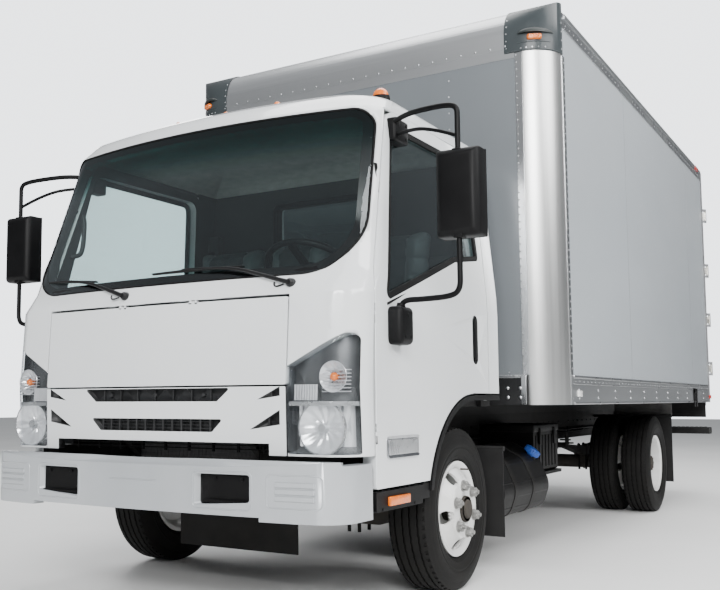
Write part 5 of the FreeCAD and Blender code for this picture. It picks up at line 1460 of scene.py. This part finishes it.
def straps(node, name, starts, width, finish, side):
    """Steel bands round a tank, cut from its own skin; side is where the tank hangs."""
    for number, start in enumerate(starts):
        shape = copy_of(node)
        sliced(shape, (0, start, 0), (0, -1, 0))
        sliced(shape, (0, start + width, 0), (0, 1, 0))
        bmesh.ops.delete(shape, geom=[v for v in shape.verts if v.co.x * side < 0.46],
                         context="VERTS")
        bmesh.ops.solidify(shape, geom=shape.faces[:], thickness=-0.003)
        piece(shape, "%s_%d" % (name, number), "chassis", finish, turn=30)


straps("fluid_tank", "fluid_tank_strap", (0.80, 1.10), 0.045, chassis_paint, 1)
straps("fuel_tank", "fuel_tank_strap", (1.155, 1.705), 0.040, dull_steel, -1)

hung = bmesh.new()
# battery box: lid with a turned-down rim, ribs and two rubber latches
eased(hung, (0.444, 1.553, 0.690), (0.787, 2.057, 0.737), 0.008, 3)
for i in range(7):
    eased(hung, (0.779, 1.595 + i * 0.065, 0.470), (0.785, 1.620 + i * 0.065, 0.670), 0.002, 2)
for y in (1.66, 1.95):
    eased(hung, (0.783, y - 0.014, 0.610), (0.796, y + 0.014, 0.715), 0.004, 2)
# clips for the loom and the air pipe that run inside the rail
for i in range(5):
    eased(hung, (0.428, 2.20 + i * 0.42, 0.640), (0.446, 2.228 + i * 0.42, 0.675), 0.003, 2)
# fuel tank filler's cap
way = Vector((-0.6, 0, 0.8))
spot = Vector((-0.900, 1.400, 0.690)) + way * 0.060
round_bar(hung, spot - way * 0.004, spot + way * 0.012, 0.056, 28, 0.050)
piece(hung, "hung_fittings", "chassis", tank_black)
for name, x, z, radius, end in (("wiring_loom", 0.437, 0.660, 0.010, 4.3),
                                ("air_pipe", 0.436, 0.640, 0.005, 4.1)):
    # each sags a little between its clips
    lip([(x, -0.40, z), (x, 0.3, z - 0.004), (x, 1.0, z), (x, 1.8, z - 0.006), (x, 2.6, z),
         (x, 3.4, z - 0.005), (x, end, z)], name, radius, tank_black,
        "chassis")

castings = bmesh.new()
# rocker cover, manifold runners with the exhaust manifold, and the belt pulleys
eased(castings, (-0.11, -0.40, 1.000), (0.11, 0.24, 1.030), 0.012, 3)
for i in range(4):
    y = -0.33 + i * 0.17
    round_bar(castings, (0.12, y, 0.90), (0.245, y, 0.86), 0.024, 14, 0.020)
    round_bar(castings, (-0.12, y, 0.90), (-0.235, y, 0.84), 0.022, 14, 0.020)
round_bar(castings, (-0.238, -0.36, 0.835), (-0.238, 0.22, 0.835), 0.032, 16)
fan_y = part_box("engine")[0].y - axle_y
for x, z, radius in ((0.0, 0.600, 0.085), (0.135, 0.760, 0.045), (-0.140, 0.740, 0.050)):
    round_bar(castings, (x, fan_y + 0.02, z), (x, fan_y - 0.022, z), radius, 28)
    round_bar(castings, (x, fan_y - 0.006, z), (x, fan_y - 0.016, z), radius + 0.006, 28)
piece(castings, "engine_fittings", "chassis", cast_iron)
lip([(0.18, -0.755, 0.80), (0.18, -0.70, 0.81), (0.12, -0.60, 0.83), (0.08, -0.50, 0.80),
     (0.08, -0.43, 0.78)], "radiator_hose_top", 0.024, seal_rubber, "chassis")
lip([(-0.20, -0.755, 0.50), (-0.20, -0.70, 0.49), (-0.16, -0.58, 0.50), (-0.10, -0.48, 0.56),
     (-0.10, -0.42, 0.60)], "radiator_hose_low", 0.024, seal_rubber, "chassis")

# the radiator's fins and tubes show from below and through the grille
fins = bmesh.new()
for i in range(30):
    x = -0.319 + i * 0.022
    block(fins, (x - 0.002, -0.8245, 0.472), (x + 0.002, -0.8205, 0.816))
for z in (0.452, 0.832):
    for i in range(12):
        x = -0.33 + i * 0.06
        round_bar(fins, (x, -0.829, z), (x, -0.835, z), 0.006, 6)
piece(fins, "radiator_fins", "chassis", fin_metal)


# ---- cargo box: floor and frame ----
# Laid hardwood planks, oiled and scuffed, on black painted steel cross members; the body
# outside is bare extruded aluminium at every edge.
def planks():
    """Narrow laminated boards that run along the box, each a little different."""
    material = drifting(
        "deck_boards", (0.16, 0.085, 0.038), (0.27, 0.16, 0.075), patch=9, stretch=(1, 0.06, 1),
        gloss=(0.4, 0.6), grain=260, relief=0.35, soft=0.002)
    add, feed = nodes_of(material)
    shader = material.node_tree.nodes["Principled BSDF"]
    along = add("Mapping", {"Vector": add("TexCoord")["Object"],
                            "Rotation": (0, 0, math.pi / 2)})["Vector"]
    boards = add("TexBrick", {
        "Vector": along, "Color1": (1, 1, 1, 1), "Color2": (0.62, 0.60, 0.58, 1),
        "Mortar": (0.10, 0.08, 0.06, 1), "Scale": 1, "Mortar Size": 0.0012,
        "Brick Width": 1.9, "Row Height": 0.042})["Color"]
    wood = shader.inputs["Base Color"].links[0].from_socket
    feed(shader, {"Base Color": add("Mix", {"Factor": 1, "A": wood, "B": boards},
                                    data_type="RGBA", blend_type="MULTIPLY")["Result"]})
    return material


deck_boards = planks()
cross_paint = drifting(
    "cross_paint", (0.003, 0.003, 0.0033), (0.007, 0.007, 0.0074), patch=5, gloss=(0.4, 0.6),
    relief=0.25, dust=0.10, soft=0.002, shine=0.25)
alloy = drifting(
    "bare_alloy", (0.46, 0.47, 0.48), (0.58, 0.59, 0.60), patch=3, stretch=(1, 1, 0.15),
    gloss=(0.20, 0.34), grain=420, relief=0.10, metal=1.0, dust=0.1, soft=0.002)
alloy_grey = drifting(
    "rail_alloy", (0.27, 0.28, 0.29), (0.36, 0.37, 0.38), patch=3, stretch=(1, 0.1, 1),
    gloss=(0.26, 0.40), grain=420, relief=0.12, metal=0.85, dust=0.2, soft=0.0015)
rivet_alloy = drifting(
    "rivet_alloy", (0.30, 0.31, 0.32), (0.44, 0.45, 0.46), patch=30, gloss=(0.25, 0.4),
    grain=500, relief=0.15, metal=0.9)


# boards on top, black paint on the steel and the underside
pressing("box_floor", "cargo_floor", "chassis", [deck_boards, cross_paint],
         lambda middle, normal: int(middle.z < 1.0245), turn=30)


def rivets(name, places, way, finish, radius=0.0058, high=0.0032,
           body="chassis"):
    """A row of dome-headed rivets, each a low cone on a thin foot."""
    shape = bmesh.new()
    way = Vector(way)
    for place in places:
        place = Vector(place)
        round_bar(shape, place - way * 0.001, place + way * high * 0.45, radius, 8,
                  radius * 0.92)
        round_bar(shape, place + way * high * 0.45, place + way * high, radius * 0.92, 8,
                  radius * 0.45)
    return piece(shape, name, body, finish, turn=50)


# ---- cargo box: front wall, posts, roof front ----
# Grey skinned wall riveted to its stiles, a dark cast sill below, and large-radius satin
# aluminium posts; the roof's front edge is one rolled aluminium sheet over a flat skirt.
wall_grey = drifting(
    "wall_grey", (0.125, 0.138, 0.148), (0.15, 0.164, 0.175), patch=0.9, gloss=(0.28, 0.40),
    relief=0.06, coat=0.25, dust=0.10)
wall_inside = drifting(
    "wall_lining", (0.50, 0.50, 0.48), (0.60, 0.60, 0.58), patch=2.0, gloss=(0.5, 0.7),
    grain=150, relief=0.2)
sill_dark = drifting(
    "sill_alloy", (0.018, 0.019, 0.021), (0.032, 0.033, 0.035), patch=4, stretch=(0.2, 1, 1),
    gloss=(0.3, 0.45), grain=400, relief=0.15, metal=0.7, dust=0.3, soft=0.002)


def front_wall_side(middle, normal):
    """The sill is dark, the wall is lined inside and grey outside."""
    if middle.z < 1.0251:
        return 1
    return 2 if normal.y > 0.5 else 0


post_metal = drifting(
    "satin_post", (0.52, 0.525, 0.52), (0.64, 0.645, 0.64), patch=4, stretch=(5, 5, 0.10),
    gloss=(0.30, 0.40), grain=500, relief=0.05, metal=1.0, dust=0.06)
feed = nodes_of(post_metal)[1]
feed(post_metal.node_tree.nodes["Principled BSDF"], {"Anisotropic": 0.35})
pressing("box_front_wall", "front_wall_skin", "chassis", [wall_grey, sill_dark, wall_inside],
         front_wall_side, turn=30)
pressing("box_front_posts", "front_posts", "chassis", post_metal, turn=60)
roof_metal = drifting(
    "roof_front_metal", (0.44, 0.45, 0.46), (0.54, 0.55, 0.56), patch=2.2, stretch=(0.12, 3, 3),
    gloss=(0.26, 0.40), grain=400, relief=0.05, metal=0.9, dust=0.1)
pressing("box_roof_front", "roof_front_bow", "chassis", roof_metal, turn=30)

wings = bmesh.new()
for side in (-1, 1):
    # the flat wing of each post laps the wall, and a second wing laps the side panel
    eased(wings, (side * 1.039 - 0.020 - 0.006 * side, 0.6985, 1.026),
          (side * 1.039 + 0.020 - 0.006 * side, 0.7015, 2.800), 0.001, 1)
    block(wings, (side * 1.2175, 0.878, 0.868), (side * 1.2212, 0.922, 2.800))
    eased(wings, (side * 1.02 - 0.014, 0.6925, 0.868), (side * 1.02 + 0.014, 0.6975, 1.022),
          0.001, 1)
eased(wings, (-1.036, 0.6935, 1.010), (1.036, 0.6985, 1.026), 0.001, 1)
piece(wings, "front_wall_edges", "chassis", alloy, soft=0.0006)

forward = (0, -1, 0)
rivets("front_wall_rivets", [
    place for side in (-1, 1)
    for place in [(side * 1.020, 0.6985, 1.045 + i * 0.0405) for i in range(44)]
    + [(side * (0.10 + i * 0.14), 0.6985, 1.040) for i in range(7)]
], forward, rivet_alloy, radius=0.005)
rivets("roof_skirt_rivets", [(-0.96 + i * 0.0873, 0.695, 2.846) for i in range(23)]
       + [(x, 0.700, 1.10 + i * 0.095) for x in (-0.62, 0.62) for i in range(18)],
       forward, rivet_alloy, radius=0.006)
rivets("sill_bolts", [(side * x, 0.696, z) for side in (-1, 1) for x in (0.42, 0.55, 0.93, 1.00)
                      for z in (0.905, 0.955)], forward, alloy, radius=0.011, high=0.006)
for word, side in sides.items():
    rivets("post_rivets_" + word, [(side * 1.2212, 0.905, 0.90 + i * 0.0405) for i in range(47)],
           (side, 0, 0), rivet_alloy, radius=0.005)


# ---- cargo box: corner caps ----
# Blue-grey moulded caps close the upper corners. Each has a hooded amber lamp in front, a
# shallow step below it, and pop rivets round its edge.
cap_plastic = drifting(
    "cap_plastic", (0.030, 0.037, 0.040), (0.042, 0.050, 0.053), patch=4, gloss=(0.26, 0.38),
    grain=700, relief=0.2, coat=0.1, dust=0.03, shine=0.3)
cap_dark = drifting(
    "cap_hood", (0.010, 0.014, 0.014), (0.018, 0.023, 0.022), patch=10, gloss=(0.35, 0.5),
    grain=700, relief=0.3)
pressing("box_corner_caps", "corner_caps", "chassis", cap_plastic, turn=50)
cap_surface = surface_of("box_corner_caps")
for word, side in sides.items():
    # an eyebrow: a half lens that stands out over the lamp and fades at its ends
    hood = upper_half(36, 18, 1.0)
    bmesh.ops.scale(hood, verts=hood.verts, vec=(0.088, 0.030, 0.030))
    bmesh.ops.translate(hood, verts=hood.verts, vec=(side * 1.118, 0.712, 2.898))
    for v in hood.verts:
        hit = met(cap_surface, (v.co.x, 0.3, 2.89))
        if hit:
            v.co.y += hit.y - 0.712 + 0.006
    piece(hood, "cap_hood_" + word, "chassis", cap_dark, turn=40)
    lamp = bmesh.new()
    eased(lamp, (-0.040, -0.016, -0.0150), (0.040, 0.010, 0.0150), 0.010, 4)
    for i in range(5):
        eased(lamp, (-0.032 + i * 0.0135, -0.0185, -0.011), (-0.022 + i * 0.0135, -0.014, 0.011),
              0.001, 1)
    bmesh.ops.rotate(lamp, verts=lamp.verts, cent=(0, 0, 0),
                     matrix=Matrix.Rotation(side * 0.46, 3, "Z"))
    hit = met(cap_surface, (side * 1.120, 0.3, 2.874))
    bmesh.ops.translate(lamp, verts=lamp.verts, vec=hit + Vector((0, 0.002, 0)))
    piece(lamp, "cap_lamp_" + word, "chassis", amber_glass, turn=40)
    crease = [met(cap_surface, (side * (1.030 + i * 0.0145), 0.3, 2.848)) for i in range(12)]
    crease = [hit for hit in crease if hit]
    lip(crease, "cap_step_" + word, 0.0028, cap_plastic, "chassis")
    foot = [(side * 0.972, 0.6935, 2.805), (side * 1.039, 0.6935, 2.805)] + [
        (side * (1.039 + 0.1865 * math.sin(a)), 0.880 - 0.1865 * math.cos(a), 2.805)
        for a in (0.26, 0.52, 0.79, 1.05, 1.31, 1.55)]
    lip(foot, "cap_foot_" + word, 0.0035, cap_plastic, "chassis")
    shape = bmesh.new()
    for start, way in (
            [((side * 0.967, 0.3, 2.83 + i * 0.042), (0, 1, 0)) for i in range(5)]
            + [((side * 1.5, 0.868, 2.83 + i * 0.05), (-side, 0, 0)) for i in range(4)]
            + [((side * (1.05 + i * 0.03), 0.3, 2.817), (0, 1, 0)) for i in range(5)]):
        hit, normal = cap_surface.ray_cast(Vector(start), Vector(way))[:2]
        if hit:
            round_bar(shape, hit - normal * 0.001, hit + normal * 0.0028, 0.0055, 8, 0.003)
    piece(shape, "cap_rivets_" + word, "chassis", rivet_alloy, turn=50)


# ---- cargo box: side panels and rails ----
# One-piece glossy pale panels over plywood, joined by flush butt seams, riveted between an
# upper and a lower aluminium rail that carry the side markers.
# gel coat: nearly even, a faint weave, and slow waves that only its reflections show
side_skin = drifting(
    "panel_skin", (0.36, 0.39, 0.415), (0.415, 0.445, 0.47), patch=0.55, stretch=(1, 0.5, 1.4),
    gloss=(0.16, 0.27), grain=90, relief=0.035, coat=0.15, dust=0.10, patch_relief=0.004)
for word, side in sides.items():
    pressing("box_side_" + word, "side_panel_" + word, "chassis", [side_skin, wall_inside],
             lambda middle, normal: int(normal.x * side < -0.5))
    seams = bmesh.new()
    for y in (2.300, 4.540):
        block(seams, (side * 1.2187, y - 0.0022, 1.028), (side * 1.2197, y + 0.0022, 2.962))
    piece(seams, "side_seams_" + word, "chassis", wall_grey)
    rivets("panel_rivets_" + word,
           [(side * 1.219, y, 1.15 + i * 0.225)
            for y in (1.35, 1.80, 2.75, 3.20, 3.65, 4.10, 4.90) for i in range(8)],
           (side, 0, 0), side_skin, radius=0.0045, high=0.0018)
pressing("box_rails", "side_rails", "chassis", [alloy, alloy_grey],
         lambda middle, normal: int(middle.z < 1.02 and abs(normal.x) > 0.5))

beads = bmesh.new()
for side in (-1, 1):
    # beads of the rails' extrusions: foot, head, how far out, finish
    for z0, z1, out, finish in ((1.008, 1.024, 1.2265, 0), (0.975, 0.980, 1.2240, 0),
                                (0.866, 0.878, 1.2270, 0), (2.962, 2.968, 1.2245, 0),
                                (3.022, 3.050, 1.2285, 1)):
        eased(beads, (side * 1.221, 0.925, z0), (side * out, 5.305, z1), 0.0012, 2, finish)
piece(beads, "rail_beads", "chassis", [alloy, alloy_grey])
for word, side in sides.items():
    rivets("rail_bolts_" + word, [(side * 1.222, 1.02 + i * 0.40, z) for i in range(11)
                                  for z in (0.902, 0.945)],
           (side, 0, 0), alloy, radius=0.009, high=0.005)
    rivets("rail_rivets_" + word, [(side * 1.222, 0.96 + i * 0.0808, z)
                                   for z in (0.992, 2.992) for i in range(54)],
           (side, 0, 0), rivet_alloy, radius=0.005)

red_lens = drifting(
    "red_lens", (0.42, 0.012, 0.010), (0.52, 0.02, 0.015), patch=40, gloss=(0.10, 0.2),
    grain=500, relief=0.3, coat=0.6)
white_lens = drifting(
    "white_lens", (0.72, 0.72, 0.70), (0.80, 0.80, 0.78), patch=40, gloss=(0.15, 0.28),
    grain=500, relief=0.3, coat=0.5)
for word, side in sides.items():
    for name, finish, y, z, long_half in (
            ("marker_front", white_lens, 1.02, 0.925, 0.038),
            ("marker_rear_low", red_lens, 5.352, 0.915, 0.030),
            ("marker_rear_high", red_lens, 5.10, 3.035, 0.075)):
        shape = bmesh.new()
        eased(shape, (side * 1.2185, y - long_half, z - 0.0175),
              (side * 1.2325, y + long_half, z + 0.0175), 0.006)
        piece(shape, name + "_" + word, "chassis", finish, turn=40)
    # a black pull bar by the rear corner, as a grip for the step
    grip = bmesh.new()
    for y0, y1, z in ((4.505, 4.545, 0.830), (4.600, 4.645, 0.830), (4.505, 4.645, 0.945)):
        eased(grip, (side * 1.2215, y0, z), (side * 1.2335, y1, 0.985), 0.004)
    piece(grip, "side_latch_" + word, "chassis", black_plastic)


# ---- cargo box: roof ----
# One sheet of aluminium stretched over folded bows, riveted along its sides.
dress(alloy, "box_roof")
for word, side in sides.items():
    rivets("roof_rivets_" + word, [(side * 1.150, 0.95 + i * 0.10, 3.049) for i in range(44)],
           (0, 0, 1), rivet_alloy, radius=0.005)


# ---- cargo box: rear frame and doors ----
# A welded, grey galvanised frame. Two flush skinned doors swing on four hinges each, close
# on black rubber, and lock by zinc plated rods with a hasped handle.
galvanised = drifting(
    "galvanised", (0.40, 0.41, 0.42), (0.56, 0.57, 0.58), patch=26, gloss=(0.35, 0.55),
    grain=90, relief=0.15, metal=0.85, dust=0.2, soft=0.003)
rod_zinc = drifting(
    "rod_zinc", (0.40, 0.39, 0.36), (0.56, 0.55, 0.50), patch=30, gloss=(0.22, 0.4),
    relief=0.12, metal=0.95, dust=0.2, soft=0.002)
dress(galvanised, "rear_door_frame")


def door_part(middle, normal):
    """Leaf skins outside and in, then the hardware that stands off them."""
    if middle.y > 5.4005:
        return 1
    return 2 if normal.y < -0.5 else 0


for word, side in sides.items():
    body = "cargo_door_" + word
    pressing(body, "door_leaf_" + word, body, [side_skin, rod_zinc, wall_inside],
             door_part, turn=30)
    seal = bmesh.new()
    for x0, x1, z0, z1 in ((0.006, 1.118, 1.031, 1.043), (0.006, 1.118, 2.842, 2.854),
                           (1.106, 1.118, 1.031, 2.854), (0.006, 0.018, 1.031, 2.854)):
        eased(seal, (side * x0, 5.3985, z0), (side * x1, 5.4035, z1), 0.0015, 2)
    piece(seal, "door_seal_" + word, body, seal_rubber)
    ironwork = bmesh.new()
    for z in (1.180, 1.640, 2.110, 2.640):
        for x in (0.99, 1.04, 1.09):
            for dz in (-0.018, 0.018):
                round_bar(ironwork, (side * x, 5.411, z + dz), (side * x, 5.418, z + dz), 0.008,
                          6)
    # rod guides' plates, cams at both ends, the handle's hub and its hasp
    for z in (1.090, 1.500, 2.000, 2.795):
        for dx in (-0.034, 0.034):
            round_bar(ironwork, (side * 0.215 + dx, 5.402, z), (side * 0.215 + dx, 5.409, z),
                      0.0075, 6)
        eased(ironwork, (side * 0.215 - 0.045, 5.400, z - 0.018),
              (side * 0.215 + 0.045, 5.404, z + 0.018), 0.001, 1)
    for z in (1.052, 2.832):
        round_bar(ironwork, (side * 0.215, 5.420, z - 0.012), (side * 0.215, 5.420, z + 0.012),
                  0.020, 16)
    eased(ironwork, (side * 0.215 - 0.022, 5.410, 1.432), (side * 0.215 + 0.022, 5.436, 1.478),
          0.004, 2)
    eased(ironwork, (side * 0.430, 5.424, 1.436), (side * 0.560, 5.436, 1.474), 0.005, 2)
    piece(ironwork, "door_ironwork_" + word, body, rod_zinc, soft=0.001)
    edge_rivets = [(side * (0.04 + i * 0.0975), 5.400, z) for i in range(12)
                   for z in (1.060, 2.825) if abs(0.04 + i * 0.0975 - 0.215) > 0.05]
    rivets("door_rivets_" + word, edge_rivets, (0, 1, 0), rivet_alloy, radius=0.0045, body=body)


# ---- tail lamps and step bumper ----
# Black folded plates under the body carry red and clear lamps in rubber grommets;
# the step is a black steel channel with rows of raised treads on its top.
dress(cross_paint, "rear_lamp_plates", "step_bumper")
for word, side in sides.items():
    rings, reds, whites = bmesh.new(), bmesh.new(), bmesh.new()
    for x, shape, radius in ((1.120, reds, 0.050), (1.000, reds, 0.050), (0.915, whites, 0.030)):
        round_bar(rings, (side * x, 5.345, 0.795), (side * x, 5.356, 0.795), radius + 0.009, 32,
                  radius + 0.006)
        round_bar(shape, (side * x, 5.350, 0.795), (side * x, 5.361, 0.795), radius, 32,
                  radius * 0.93)
        round_bar(shape, (side * x, 5.361, 0.795), (side * x, 5.364, 0.795), radius * 0.93, 32,
                  radius * 0.55)
    piece(rings, "tail_lamp_grommets_" + word, "chassis", seal_rubber, turn=40)
    piece(reds, "tail_lamps_" + word, "chassis", red_lens, turn=40)
    piece(whites, "reversing_lamp_" + word, "chassis", white_lens, turn=40)
head_lamps = bmesh.new()
for x in (-0.16, 0.0, 0.16, -1.08, 1.08):
    eased(head_lamps, (x - 0.045, 5.396, 2.945), (x + 0.045, 5.414, 2.975), 0.006, 3)
piece(head_lamps, "header_lamps", "chassis", red_lens, turn=40)

tread = bmesh.new()
for i in range(58):
    x = -1.14 + i * 0.04
    for y in (5.482, 5.530, 5.578):
        eased(tread, (x - 0.012, y - 0.007, 0.6275), (x + 0.012, y + 0.007, 0.6315), 0.0015, 1)
for side in (-1, 1):
    for x in (0.45, 0.80, 1.12):
        eased(tread, (side * x - 0.028, 5.600, 0.580), (side * x + 0.028, 5.618, 0.616), 0.005,
              2)
piece(tread, "step_tread", "chassis", mat_rubber)

# Mud flap details: ribs moulded on the rubber and the clamp strips under their rods.
flaps = bmesh.new()
for side in (-1, 1):
    # the flap's Y, inner and outer edge, foot and clamp's top
    for y, x0, x1, z0, z1 in ((0.5045, 0.60, 0.965, 0.19, 0.64),
                              (4.2995, 0.60, 1.075, 0.20, 0.76)):
        low, high = sorted((side * x0, side * x1))
        eased(flaps, (low + 0.01, y + 0.005, z1 - 0.07),
              (high - 0.01, y + 0.010, z1 - 0.035), 0.001, 1, 1)
        for i in range(4):
            x = low + (high - low) * (i + 0.5) / 4
            round_bar(flaps, (x, y + 0.009, z1 - 0.052), (x, y + 0.015, z1 - 0.052),
                      0.008, 6, finish=1)
        if y > 4:
            # a folded hanger plate joins the rod to the floor's cross member
            eased(flaps, (low, y + 0.026, z1 - 0.015), (high, y + 0.032, 0.872), 0.001, 1, 1)
        for z in (z0 + 0.03, z0 + 0.05):
            eased(flaps, (low + 0.02, y + 0.004, z), (high - 0.02, y + 0.0085, z + 0.006),
                  0.001, 1)
piece(flaps, "mud_flap_clamps", "chassis", [mat_rubber, dull_steel])
